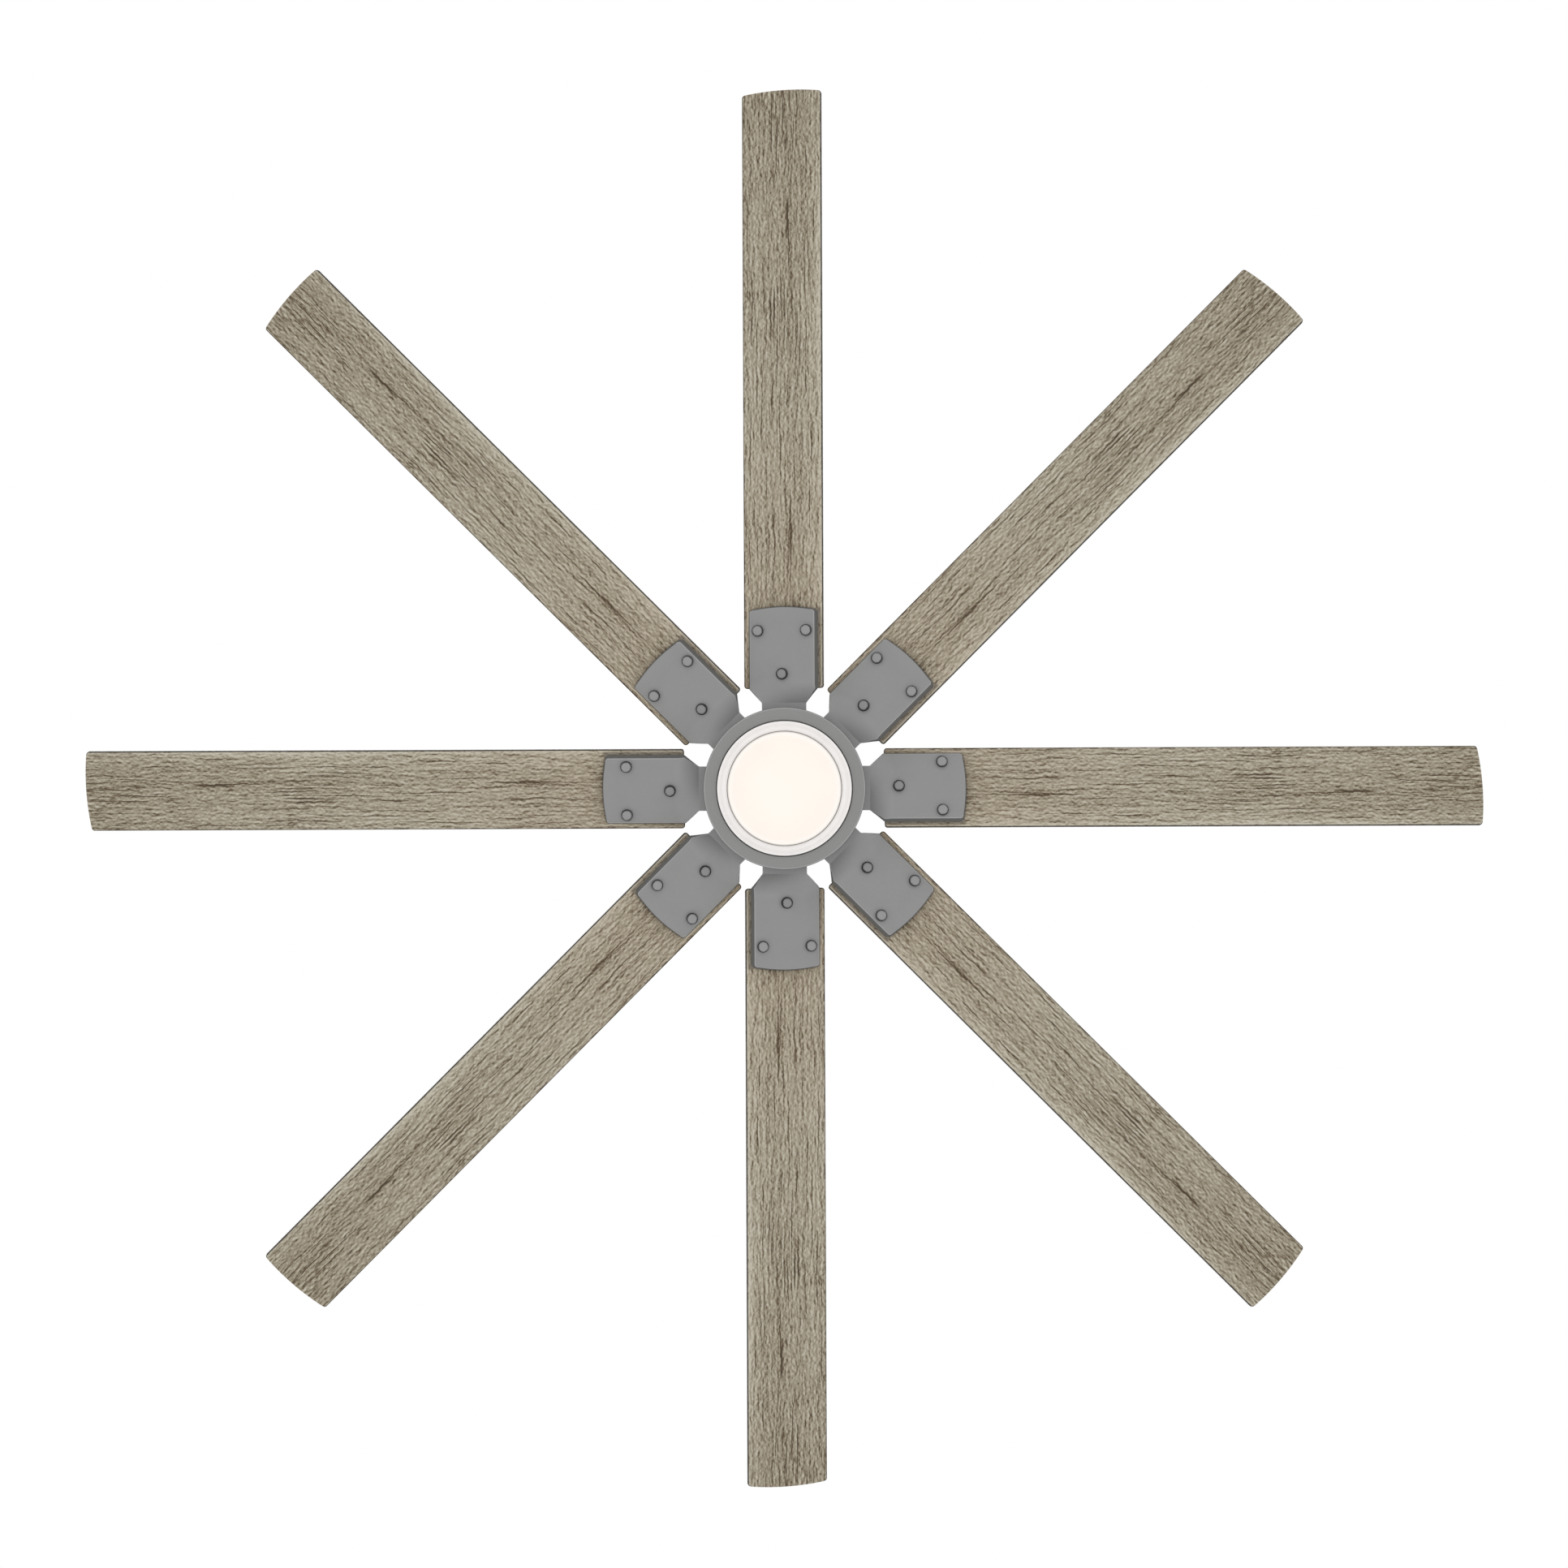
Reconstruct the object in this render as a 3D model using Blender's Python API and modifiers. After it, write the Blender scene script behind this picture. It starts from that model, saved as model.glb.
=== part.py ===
"""Eight-blade ceiling fan with an outer-rotor motor and a round light below it.

Metres, +Z up. The origin is the middle of the ceiling plate's upper face, and the fan hangs below it.
Everything above the blade irons is stacked down from the ceiling, and the light pan hangs below them.
"""
import math

import bmesh
import bpy
from mathutils import Matrix, Vector

# Fits that the whole fan shares
FIT = 0.0003
SWING_FIT = 0.0006
OVERRUN = 0.002
MERGE_DISTANCE = 0.00001
SMOOTH_ANGLE = math.radians(35)

# Facets round the turned pieces and along their corners
WIDE_STEPS = 36
ROUND_STEPS = 24
SMALL_STEPS = 16
PIN_STEPS = 8
STUD_STEPS = 6
HEX_SIDES = 6
CORNER_STEPS = 2
BALL_STEPS = 4
LENS_STEPS = 4

# Ceiling bracket
BRACKET_METAL = 0.0025
BRACKET_LENGTH = 0.104
BRACKET_WIDTH = 0.046
EAR_WIDTH = 0.016
EAR_TAB_HEIGHT = 0.016
LEG_WIDTH = 0.040
LEG_GAP = 0.003
CRADLE_DEPTH = 0.060
CRADLE_HOLE_RADIUS = 0.025
CRADLE_SLOT_GAP = 0.0033
WIRE_WINDOW_PLACE = 0.023
WIRE_WINDOW_LENGTH = 0.018
WIRE_WINDOW_WIDTH = 0.026
CEILING_SLOT_PLACE = 0.0445
CEILING_SLOT_LENGTH = 0.0055
CEILING_SLOT_WIDTH = 0.016

# Canopy against the ceiling
CANOPY_RADIUS = 0.075
CANOPY_FLOOR_GAP = 0.0053
CANOPY_WALL = 0.0015
CANOPY_CORNER = 0.022
CANOPY_HOLE_GAP = 0.01065

# Hanger ball and the seat that it swings in
BALL_DEPTH = 0.034
BALL_RADIUS = 0.027
BALL_TOP = 0.014
BALL_LIP = 0.002
SEAT_WALL = 0.003
SEAT_ANGLE = math.radians(45)

# Downrod and its two cross pins
ROD_RADIUS = 0.01335
ROD_WALL = 0.00245
ROD_LENGTH = 0.1524
ROD_RECESS = 0.002
PIN_RADIUS = 0.003
BALL_PIN_OUT = 0.00665
BALL_PIN_RISE = 0.006
YOKE_PIN_RISE = 0.0124
YOKE_PIN_OUT = 0.002

# Yoke that screws the rod to the motor
YOKE_GRIP = 0.0244
YOKE_WALL = 0.00435
YOKE_NECK = 0.0183
YOKE_FLANGE_RADIUS = 0.030
YOKE_FLANGE = 0.005

# Yoke cover
COVER_PIN_GAP = 0.0013
COVER_TAPER = 0.002
COVER_FLARE = 0.012
COVER_RISE = 0.004
COVER_WAIST_HEIGHT = 0.023
COVER_SHOULDER_HEIGHT = 0.009
COVER_WALL = 0.0012
COVER_CORNER = 0.003

# Motor housing
HOUSING_INSET = 0.0015
HOUSING_WALL = 0.002
HOUSING_CORNER = 0.016
HOUSING_HOLE_GAP = 0.003
HOUSING_RIM_GAP = 0.0025

# Fixed motor shaft
SHAFT_RADIUS = 0.009
SHAFT_WALL = 0.003
SHAFT_COLLAR_WIDTH = 0.004
SHAFT_COLLAR = 0.003
SHAFT_NUT_WIDTH = 0.005
SHAFT_NUT = 0.006
SHAFT_END = 0.002

# Two like bearings
BEARING_RADIUS = 0.020
BEARING_WIDTH = 0.008
BEARING_RACE = 0.003
BEARING_SHIELD_DEPTH = 0.0008

# Rotor can, its magnets and the base plate that closes it
ROTOR_TOP_GAP = 0.0037
HUB_WALL = 0.0037
HUB_LIP = 0.0047
CAN_INSET = 0.016
CAN_WALL = 0.005
CAN_PLATE = 0.003
CAN_LIP = 0.0017
CAN_CORNER = 0.003
MAGNET_COUNT = 14
MAGNET_WIDTH_SHARE = 0.78
MAGNET_THICKNESS = 0.004
MAGNET_BITE = 0.0015
MAGNET_TOP_GAP = 0.006
BASE_SIDE_GAP = 0.004
BASE_PLATE = 0.0059
BASE_LIP = 0.0034
BASE_HUB_GAP = 0.0035

# Stator and its coils
AIR_GAP = 0.001
STATOR_HEIGHT = 0.016
STATOR_TOP_GAP = 0.006
STATOR_CORE_SHARE = 0.516
TOOTH_COUNT = 12
TOOTH_WIDTH = 0.009
TOOTH_SHOE = 0.004
SHOE_ANGLE_SHARE = 0.84
COIL_CORE_GAP = 0.008
COIL_SHOE_GAP = 0.005
COIL_WIDTH_SHARE = 0.82
COIL_OVERHANG = 0.003

# Blades
BLADE_COUNT = 8
SPAN = 1.6764
BLADE_INSET = 0.0007
BLADE_WIDTH = 0.0973
BLADE_THICKNESS = 0.0055
BLADE_PITCH = math.radians(13)
BLADE_CORNER = 0.0035
BLADE_TIP_CURVE = 0.330
BLADE_TIP_SHARES = (-1, -0.67, -0.33, 0, 0.33, 0.67, 1)

# Blade irons
IRON_LAP = 0.0215
IRON_ROOT_GAP = 0.00216
IRON_NECK_REACH = 0.0072
IRON_RAMP_LENGTH = 0.0166
IRON_PAD_LENGTH = 0.0992
IRON_NECK_THICKNESS = 0.0045
IRON_NECK_DROP = 0.0025
IRON_PAD_SIDE_GAP = 0.00625
IRON_PAD_THICKNESS = 0.0075
IRON_PAD_DRAFT = 0.0027
IRON_PAD_CORNER = 0.004
IRON_END_CURVE = 0.200
IRON_MIDDLE_SHARE = 0.45

# Screws through the irons
SCREW_HEAD_RADIUS = 0.00695
SCREW_HEAD_HEIGHT = 0.003
SCREW_SHANK_RADIUS = 0.0024
SCREW_HOLE_CAP = 0.001
SCREW_HEAD_STEPS = 2
INNER_SCREW_INSET = 0.0178
OUTER_SCREW_STEP = 0.0519
OUTER_SCREW_EDGE = 0.0128
MOTOR_SCREW_INSET = 0.010
MOTOR_SCREW_SPACING = 0.028
MOTOR_SCREW_HEAD_RADIUS = 0.0042
MOTOR_SCREW_HEAD = 0.002
MOTOR_SCREW_SHANK_RADIUS = 0.0024
MOTOR_SCREW_HOLE_CAP = 0.0016

# Light pan
PAN_RADIUS = 0.0955
PAN_DEPTH = 0.044
PAN_GAP = 0.002
PAN_WALL = 0.0015
PAN_TOP_CORNER = 0.006
PAN_BOTTOM_CORNER = 0.0028
PAN_FACE_WIDTH = 0.0149
PAN_RABBET_DEPTH = 0.005
PAN_LEDGE = 0.0086

# Trim ring, lens and lamp board
TRIM_GAP = 0.0014
TRIM_BEVEL = 0.002
TRIM_FACE_DIP = 0.0005
TRIM_FACE_WIDTH = 0.0075
TRIM_PROUD = 0.0025
TRIM_LIP_WIDTH = 0.002
TRIM_LEDGE_WALL = 0.0049
TRIM_INNER_DIP = 0.0016
LENS_GAP = 0.0005
LENS_FLANGE = 0.003
LENS_RIM_DROP = 0.003
LENS_DOME = 0.0065
LENS_WALL = 0.002
BOARD_EDGE_GAP = 0.0057
BOARD_HOLE_GAP = 0.006
BOARD_THICKNESS = 0.0016
LAMP_COUNT = 16
LAMP_SIZE = 0.0035
LAMP_HEIGHT = 0.0007
LAMP_RING_INSET = 0.016

# Radii and lengths worked out from the pan outwards, and inwards to the motor
HOUSING_RADIUS = PAN_RADIUS - HOUSING_INSET
BASE_RADIUS = HOUSING_RADIUS - HOUSING_WALL - BASE_SIDE_GAP
CAN_RADIUS = BASE_RADIUS - CAN_INSET
MAGNET_FACE_RADIUS = CAN_RADIUS - CAN_WALL - MAGNET_THICKNESS
IRON_ROOT_RADIUS = BASE_RADIUS - IRON_LAP
IRON_NECK_HALF = (IRON_ROOT_RADIUS - IRON_ROOT_GAP) * math.tan(math.pi / BLADE_COUNT)
IRON_CREASE_RADIUS = PAN_RADIUS + IRON_NECK_REACH
IRON_PAD_START = IRON_CREASE_RADIUS + IRON_RAMP_LENGTH
IRON_PAD_END = IRON_PAD_START + IRON_PAD_LENGTH
IRON_PAD_HALF = BLADE_WIDTH / 2 - IRON_PAD_SIDE_GAP
BLADE_ROOT_RADIUS = IRON_PAD_START + BLADE_INSET
SCREW_BITE = BLADE_THICKNESS - SCREW_HOLE_CAP - FIT
MOTOR_SCREW_BITE = BASE_PLATE - MOTOR_SCREW_HOLE_CAP - FIT
PAN_RABBET_RADIUS = PAN_RADIUS - PAN_FACE_WIDTH
TRIM_RADIUS = PAN_RABBET_RADIUS - TRIM_GAP
TRIM_FACE_RADIUS = TRIM_RADIUS - TRIM_BEVEL - TRIM_FACE_WIDTH
TRIM_HOLE_RADIUS = TRIM_FACE_RADIUS - TRIM_LIP_WIDTH
BOARD_RADIUS = TRIM_HOLE_RADIUS - BOARD_EDGE_GAP
SHAFT_NUT_RADIUS = SHAFT_RADIUS + SHAFT_NUT_WIDTH
ROD_BORE_RADIUS = ROD_RADIUS + FIT
YOKE_RADIUS = ROD_BORE_RADIUS + YOKE_WALL
SEAT_INNER_RADIUS = BALL_RADIUS + SWING_FIT
SEAT_OUTER_RADIUS = SEAT_INNER_RADIUS + SEAT_WALL

# Heights worked out down the fan from the ceiling
BALL_Z = -BALL_DEPTH
CRADLE_TOP_Z = BALL_Z - math.sqrt((SEAT_OUTER_RADIUS + SWING_FIT) ** 2 - CRADLE_HOLE_RADIUS ** 2)
CRADLE_BOTTOM_Z = CRADLE_TOP_Z - BRACKET_METAL
CANOPY_BOTTOM_Z = CRADLE_BOTTOM_Z - CANOPY_FLOOR_GAP - CANOPY_WALL
ROD_TOP_Z = BALL_Z + BALL_TOP - ROD_RECESS
ROD_BOTTOM_Z = ROD_TOP_Z - ROD_LENGTH
BALL_PIN_Z = BALL_Z + BALL_PIN_RISE
YOKE_PIN_Z = ROD_BOTTOM_Z + YOKE_PIN_RISE
YOKE_TOP_Z = ROD_BOTTOM_Z + YOKE_GRIP
YOKE_SHOULDER_Z = ROD_BOTTOM_Z - FIT
YOKE_BOTTOM_Z = YOKE_SHOULDER_Z - YOKE_NECK
HOUSING_TOP_Z = YOKE_BOTTOM_Z - FIT
CAN_HUB_TOP_Z = HOUSING_TOP_Z - HOUSING_WALL - ROTOR_TOP_GAP
CAN_LIP_Z = CAN_HUB_TOP_Z - BEARING_WIDTH - FIT
CAN_PLATE_BOTTOM_Z = CAN_LIP_Z - CAN_LIP
STATOR_TOP_Z = CAN_PLATE_BOTTOM_Z - STATOR_TOP_GAP - COIL_OVERHANG
STATOR_BOTTOM_Z = STATOR_TOP_Z - STATOR_HEIGHT
BASE_HUB_TOP_Z = STATOR_BOTTOM_Z - COIL_OVERHANG - BASE_HUB_GAP
BASE_LIP_Z = BASE_HUB_TOP_Z - BEARING_WIDTH - FIT
BASE_BOTTOM_Z = BASE_LIP_Z - BASE_LIP
BASE_TOP_Z = BASE_BOTTOM_Z + BASE_PLATE
IRON_TOP_Z = BASE_BOTTOM_Z - FIT
PITCH_AXIS_Z = IRON_TOP_Z + IRON_NECK_DROP
IRON_BOTTOM_Z = IRON_TOP_Z - IRON_NECK_THICKNESS
PAN_TOP_Z = IRON_BOTTOM_Z - MOTOR_SCREW_HEAD - PAN_GAP
PAN_BOTTOM_Z = PAN_TOP_Z - PAN_DEPTH
PAN_LEDGE_Z = PAN_BOTTOM_Z + PAN_RABBET_DEPTH

# Surface finishes: colour in linear light, roughness and metallic
FINISHES = {
    "grey_paint": ((0.26, 0.26, 0.257), 0.45, 0.3),
    "wood_print": ((0.35, 0.30, 0.22), 0.55, 0.0),
    "trim_white": ((0.83, 0.80, 0.77), 0.4, 0.0),
    "opal": ((1.0, 0.93, 0.84), 0.35, 0.0),
    "zinc_steel": ((0.55, 0.56, 0.57), 0.35, 0.9),
    "bearing_steel": ((0.62, 0.62, 0.63), 0.25, 1.0),
    "core_steel": ((0.28, 0.27, 0.26), 0.5, 0.8),
    "cast_grey": ((0.45, 0.45, 0.46), 0.5, 0.7),
    "black_plastic": ((0.02, 0.02, 0.02), 0.5, 0.0),
    "board_white": ((0.8, 0.8, 0.8), 0.45, 0.0),
}


def clear_scene():
    for obj in list(bpy.data.objects):
        bpy.data.objects.remove(obj)


def link(name, data):
    obj = bpy.data.objects.new(name, data)
    bpy.context.scene.collection.objects.link(obj)
    return obj


def evaluated_mesh(obj):
    depsgraph = bpy.context.evaluated_depsgraph_get()
    return bpy.data.meshes.new_from_object(obj.evaluated_get(depsgraph))


def apply_modifiers(obj):
    mesh = evaluated_mesh(obj)
    obj.modifiers.clear()
    obj.data = mesh
    return obj


def boolean(obj, tool, operation):
    """Join or cut obj with tool, and remove the tool."""
    modifier = obj.modifiers.new(operation.title(), "BOOLEAN")
    modifier.operation = operation
    modifier.solver = "EXACT"
    modifier.object = tool
    apply_modifiers(obj)
    bpy.data.objects.remove(tool)


def cut(obj, tool):
    boolean(obj, tool, "DIFFERENCE")


def join(obj, tool):
    boolean(obj, tool, "UNION")


def rounded(corners):
    """Return the line through corners (x, y, radius), each rounded by an arc of its radius."""
    line = []
    for index, (x, y, radius) in enumerate(corners):
        here = Vector((x, y))
        if radius == 0:
            line.append(here)
            continue
        to_last = (Vector(corners[index - 1][:2]) - here).normalized()
        to_next = (Vector(corners[(index + 1) % len(corners)][:2]) - here).normalized()
        half = to_last.angle(to_next) / 2
        centre = here + (to_last + to_next).normalized() * radius / math.sin(half)
        start = here + to_last * radius / math.tan(half) - centre
        end = here + to_next * radius / math.tan(half) - centre
        for step in range(CORNER_STEPS + 1):
            line.append(centre + start.lerp(end, step / CORNER_STEPS).normalized() * radius)
    return line


def arc(centre_z, radius, start, end, steps):
    """Return points on a circle centred on the axis, by their angle up from the horizontal."""
    angles = [start + (end - start) * step / steps for step in range(steps + 1)]
    return [(radius * math.cos(angle), centre_z + radius * math.sin(angle)) for angle in angles]


def turned(name, profile, steps, closed=True, wall=0):
    """Turn a profile of (radius, height) about Z. With a wall, the profile is a shell's outer face."""
    points = [(radius, 0, height) for radius, height in profile]
    edges = [(index, index + 1) for index in range(len(points) - 1)]
    if closed:
        edges.append((len(points) - 1, 0))
    mesh = bpy.data.meshes.new(name)
    mesh.from_pydata(points, edges, [])
    obj = link(name, mesh)
    screw = obj.modifiers.new("Turn", "SCREW")
    screw.axis = "Z"
    screw.steps = steps
    screw.render_steps = steps
    screw.use_merge_vertices = True
    screw.merge_threshold = MERGE_DISTANCE
    if wall:
        solidify = obj.modifiers.new("Wall", "SOLIDIFY")
        solidify.thickness = wall
        solidify.offset = -1
        solidify.use_even_offset = True
    return apply_modifiers(obj)


def extruded(name, outline, low, high):
    """Extrude a flat outline of (x, y) from one height to another."""
    curve = bpy.data.curves.new(name, "CURVE")
    curve.dimensions = "2D"
    curve.fill_mode = "BOTH"
    curve.extrude = (high - low) / 2
    spline = curve.splines.new("POLY")
    spline.points.add(len(outline) - 1)
    for point, (x, y) in zip(spline.points, outline):
        point.co = (x, y, 0, 1)
    spline.use_cyclic_u = True
    drawn = link(name, curve)
    mesh = evaluated_mesh(drawn)
    bpy.data.objects.remove(drawn)
    mesh.transform(Matrix.Translation((0, 0, (high + low) / 2)))
    shape = bmesh.new()
    shape.from_mesh(mesh)
    bmesh.ops.remove_doubles(shape, verts=shape.verts, dist=MERGE_DISTANCE)
    bmesh.ops.recalc_face_normals(shape, faces=shape.faces)
    shape.to_mesh(mesh)
    shape.free()
    return link(name, mesh)


def from_bmesh(name, shape):
    mesh = bpy.data.meshes.new(name)
    shape.to_mesh(mesh)
    shape.free()
    return link(name, mesh)


def boxes(name, low, high, turns=(0,)):
    """Make a box between two corners, with a copy turned about Z by each angle."""
    size = Vector(high) - Vector(low)
    middle = (Vector(high) + Vector(low)) / 2
    place = Matrix.Translation(middle) @ Matrix.Diagonal((*size, 1))
    shape = bmesh.new()
    for turn in turns:
        bmesh.ops.create_cube(shape, size=1, matrix=Matrix.Rotation(turn, 4, "Z") @ place)
    return from_bmesh(name, shape)


def pegs(name, radius, low, high, places=((0, 0),), steps=PIN_STEPS):
    """Make an upright cylinder between two heights at each place (x, y), facing away from the axis."""
    shape = bmesh.new()
    for x, y in places:
        facing = Matrix.Rotation(math.atan2(y, x), 4, "Z")
        place = Matrix.Translation((x, y, (low + high) / 2)) @ facing
        bmesh.ops.create_cone(shape, cap_ends=True, segments=steps, radius1=radius, radius2=radius,
                              depth=high - low, matrix=place)
    return from_bmesh(name, shape)


def cross_pin(name, radius, length, height):
    """Make a cylinder that lies along X through the axis at a height."""
    shape = bmesh.new()
    place = Matrix.Translation((0, 0, height)) @ Matrix.Rotation(math.pi / 2, 4, "Y")
    bmesh.ops.create_cone(shape, cap_ends=True, segments=PIN_STEPS, radius1=radius, radius2=radius,
                          depth=length, matrix=place)
    return from_bmesh(name, shape)


def even_turns(count):
    return [2 * math.pi * index / count for index in range(count)]


def hanger_bracket():
    """Ceiling plate with ears for the canopy, and two legs that carry the ball's cradle."""
    leg_inner = SEAT_OUTER_RADIUS + LEG_GAP
    leg_outer = leg_inner + BRACKET_METAL
    plate_middle = -BRACKET_METAL / 2
    cradle_middle = (CRADLE_TOP_Z + CRADLE_BOTTOM_Z) / 2
    ear_end = math.sqrt((CANOPY_RADIUS - CANOPY_WALL - FIT) ** 2 - (EAR_WIDTH / 2) ** 2)
    bracket = boxes("hanger_bracket", (-BRACKET_LENGTH / 2, -BRACKET_WIDTH / 2, -BRACKET_METAL),
                    (BRACKET_LENGTH / 2, BRACKET_WIDTH / 2, 0))
    join(bracket, boxes("ears", (-ear_end, -EAR_WIDTH / 2, -BRACKET_METAL),
                        (ear_end, EAR_WIDTH / 2, 0)))
    join(bracket, boxes("tabs", (ear_end - BRACKET_METAL, -EAR_WIDTH / 2, -EAR_TAB_HEIGHT),
                        (ear_end, EAR_WIDTH / 2, plate_middle), turns=(0, math.pi)))
    join(bracket, boxes("legs", (leg_inner, -LEG_WIDTH / 2, cradle_middle),
                        (leg_outer, LEG_WIDTH / 2, plate_middle), turns=(0, math.pi)))
    cradle = boxes("cradle", (-leg_outer, -CRADLE_DEPTH / 2, CRADLE_BOTTOM_Z),
                   (leg_outer, CRADLE_DEPTH / 2, CRADLE_TOP_Z))
    cut_low = CRADLE_BOTTOM_Z - OVERRUN
    cut_high = CRADLE_TOP_Z + OVERRUN
    cut(cradle, pegs("cradle_hole", CRADLE_HOLE_RADIUS, cut_low, cut_high, steps=ROUND_STEPS))
    slot_half = ROD_RADIUS + CRADLE_SLOT_GAP / 2
    cut(cradle, boxes("cradle_slot", (-slot_half, -CRADLE_DEPTH / 2 - OVERRUN, cut_low),
                      (slot_half, 0, cut_high)))
    join(bracket, cradle)
    for place, length, width in ((WIRE_WINDOW_PLACE, WIRE_WINDOW_LENGTH, WIRE_WINDOW_WIDTH),
                                 (CEILING_SLOT_PLACE, CEILING_SLOT_LENGTH, CEILING_SLOT_WIDTH)):
        cut(bracket, boxes("windows", (place - length / 2, -width / 2, -BRACKET_METAL - OVERRUN),
                           (place + length / 2, width / 2, OVERRUN), turns=(0, math.pi)))
    return bracket


def canopy():
    line = rounded([(CANOPY_RADIUS, 0, 0), (CANOPY_RADIUS, CANOPY_BOTTOM_Z, CANOPY_CORNER),
                    (ROD_RADIUS + CANOPY_HOLE_GAP, CANOPY_BOTTOM_Z, 0)])
    return turned("canopy", line, WIDE_STEPS, closed=False, wall=CANOPY_WALL)


def ball_seat():
    low = SEAT_ANGLE - math.pi / 2
    profile = arc(BALL_Z, SEAT_OUTER_RADIUS, 0, low, BALL_STEPS)
    profile += arc(BALL_Z, SEAT_INNER_RADIUS, low, 0, BALL_STEPS)
    return turned("ball_seat", profile, ROUND_STEPS)


def hanger_ball():
    """Ball with flat ends, bored for the rod and drilled across for its pin."""
    top = math.asin(BALL_TOP / BALL_RADIUS)
    bottom = -math.acos((ROD_BORE_RADIUS + BALL_LIP) / BALL_RADIUS)
    profile = arc(BALL_Z, BALL_RADIUS, top, 0, BALL_STEPS)
    profile += arc(BALL_Z, BALL_RADIUS, 0, bottom, BALL_STEPS)[1:]
    profile += [(ROD_BORE_RADIUS, profile[-1][1]), (ROD_BORE_RADIUS, BALL_Z + BALL_TOP)]
    ball = turned("hanger_ball", profile, ROUND_STEPS)
    cut(ball, cross_pin("ball_hole", PIN_RADIUS + FIT, 2 * (BALL_RADIUS + OVERRUN), BALL_PIN_Z))
    return ball


def ball_pin():
    return cross_pin("ball_pin", PIN_RADIUS, 2 * (ROD_RADIUS + BALL_PIN_OUT), BALL_PIN_Z)


def downrod():
    inner = ROD_RADIUS - ROD_WALL
    rod = turned("downrod", [(ROD_RADIUS, ROD_TOP_Z), (ROD_RADIUS, ROD_BOTTOM_Z),
                             (inner, ROD_BOTTOM_Z), (inner, ROD_TOP_Z)], ROUND_STEPS)
    for height in (BALL_PIN_Z, YOKE_PIN_Z):
        cut(rod, cross_pin("rod_hole", PIN_RADIUS + FIT, 2 * (ROD_RADIUS + OVERRUN), height))
    return rod


def yoke():
    """Collar round the rod's foot, over a flange that sits on the motor housing."""
    shaft_bore = SHAFT_RADIUS + FIT
    flange_top = YOKE_BOTTOM_Z + YOKE_FLANGE
    collar = turned("yoke", [
        (YOKE_RADIUS, YOKE_TOP_Z), (YOKE_RADIUS, flange_top), (YOKE_FLANGE_RADIUS, flange_top),
        (YOKE_FLANGE_RADIUS, YOKE_BOTTOM_Z), (shaft_bore, YOKE_BOTTOM_Z),
        (shaft_bore, YOKE_SHOULDER_Z), (ROD_BORE_RADIUS, YOKE_SHOULDER_Z),
        (ROD_BORE_RADIUS, YOKE_TOP_Z)], ROUND_STEPS)
    cut(collar, cross_pin("yoke_hole", PIN_RADIUS + FIT, 2 * (YOKE_RADIUS + OVERRUN), YOKE_PIN_Z))
    return collar


def yoke_pin():
    return cross_pin("yoke_pin", PIN_RADIUS, 2 * (YOKE_RADIUS + YOKE_PIN_OUT), YOKE_PIN_Z)


def yoke_cover():
    """Bell that hides the yoke, resting on the motor housing round the rod."""
    bottom = HOUSING_TOP_Z + FIT
    top = YOKE_TOP_Z + COVER_RISE
    top_radius = YOKE_RADIUS + YOKE_PIN_OUT + COVER_PIN_GAP + COVER_WALL
    foot_radius = YOKE_FLANGE_RADIUS + COVER_FLARE
    line = rounded([
        (ROD_BORE_RADIUS, top, 0), (top_radius, top, COVER_CORNER),
        (top_radius + COVER_TAPER, bottom + COVER_WAIST_HEIGHT, 0),
        (foot_radius, bottom + COVER_SHOULDER_HEIGHT, 0), (foot_radius, bottom, 0)])
    return turned("yoke_cover", line, ROUND_STEPS, closed=False, wall=COVER_WALL)


def motor_housing():
    line = rounded([
        (SHAFT_RADIUS + HOUSING_HOLE_GAP, HOUSING_TOP_Z, 0),
        (HOUSING_RADIUS, HOUSING_TOP_Z, HOUSING_CORNER),
        (HOUSING_RADIUS, IRON_TOP_Z + HOUSING_RIM_GAP, 0)])
    return turned("motor_housing", line, WIDE_STEPS, closed=False, wall=HOUSING_WALL)


def motor_shaft():
    """Hollow shaft with the collar and nut that hold the light pan."""
    top = YOKE_SHOULDER_Z - FIT
    collar_bottom = PAN_TOP_Z + FIT
    collar_top = collar_bottom + SHAFT_COLLAR
    nut_top = PAN_TOP_Z - PAN_WALL - FIT
    nut_bottom = nut_top - SHAFT_NUT
    bottom = nut_bottom - SHAFT_END
    collar = SHAFT_RADIUS + SHAFT_COLLAR_WIDTH
    shaft = turned("motor_shaft", [
        (0, top), (SHAFT_RADIUS, top), (SHAFT_RADIUS, collar_top), (collar, collar_top),
        (collar, collar_bottom), (SHAFT_RADIUS, collar_bottom), (SHAFT_RADIUS, bottom),
        (0, bottom)], SMALL_STEPS, closed=False)
    join(shaft, pegs("nut", SHAFT_NUT_RADIUS, nut_bottom, nut_top, steps=HEX_SIDES))
    cut(shaft, pegs("bore", SHAFT_RADIUS - SHAFT_WALL, bottom - OVERRUN, top + OVERRUN))
    return shaft


def bearing(name, top):
    """Ring with a shallow shield between its two races on each face."""
    bottom = top - BEARING_WIDTH
    bore = SHAFT_RADIUS + FIT
    inner_race = bore + BEARING_RACE
    outer_race = BEARING_RADIUS - BEARING_RACE
    shield_top = top - BEARING_SHIELD_DEPTH
    shield_bottom = bottom + BEARING_SHIELD_DEPTH
    return turned(name, [
        (BEARING_RADIUS, top), (BEARING_RADIUS, bottom), (outer_race, bottom),
        (outer_race, shield_bottom), (inner_race, shield_bottom), (inner_race, bottom),
        (bore, bottom), (bore, top), (inner_race, top), (inner_race, shield_top),
        (outer_race, shield_top), (outer_race, top)], SMALL_STEPS)


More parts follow.
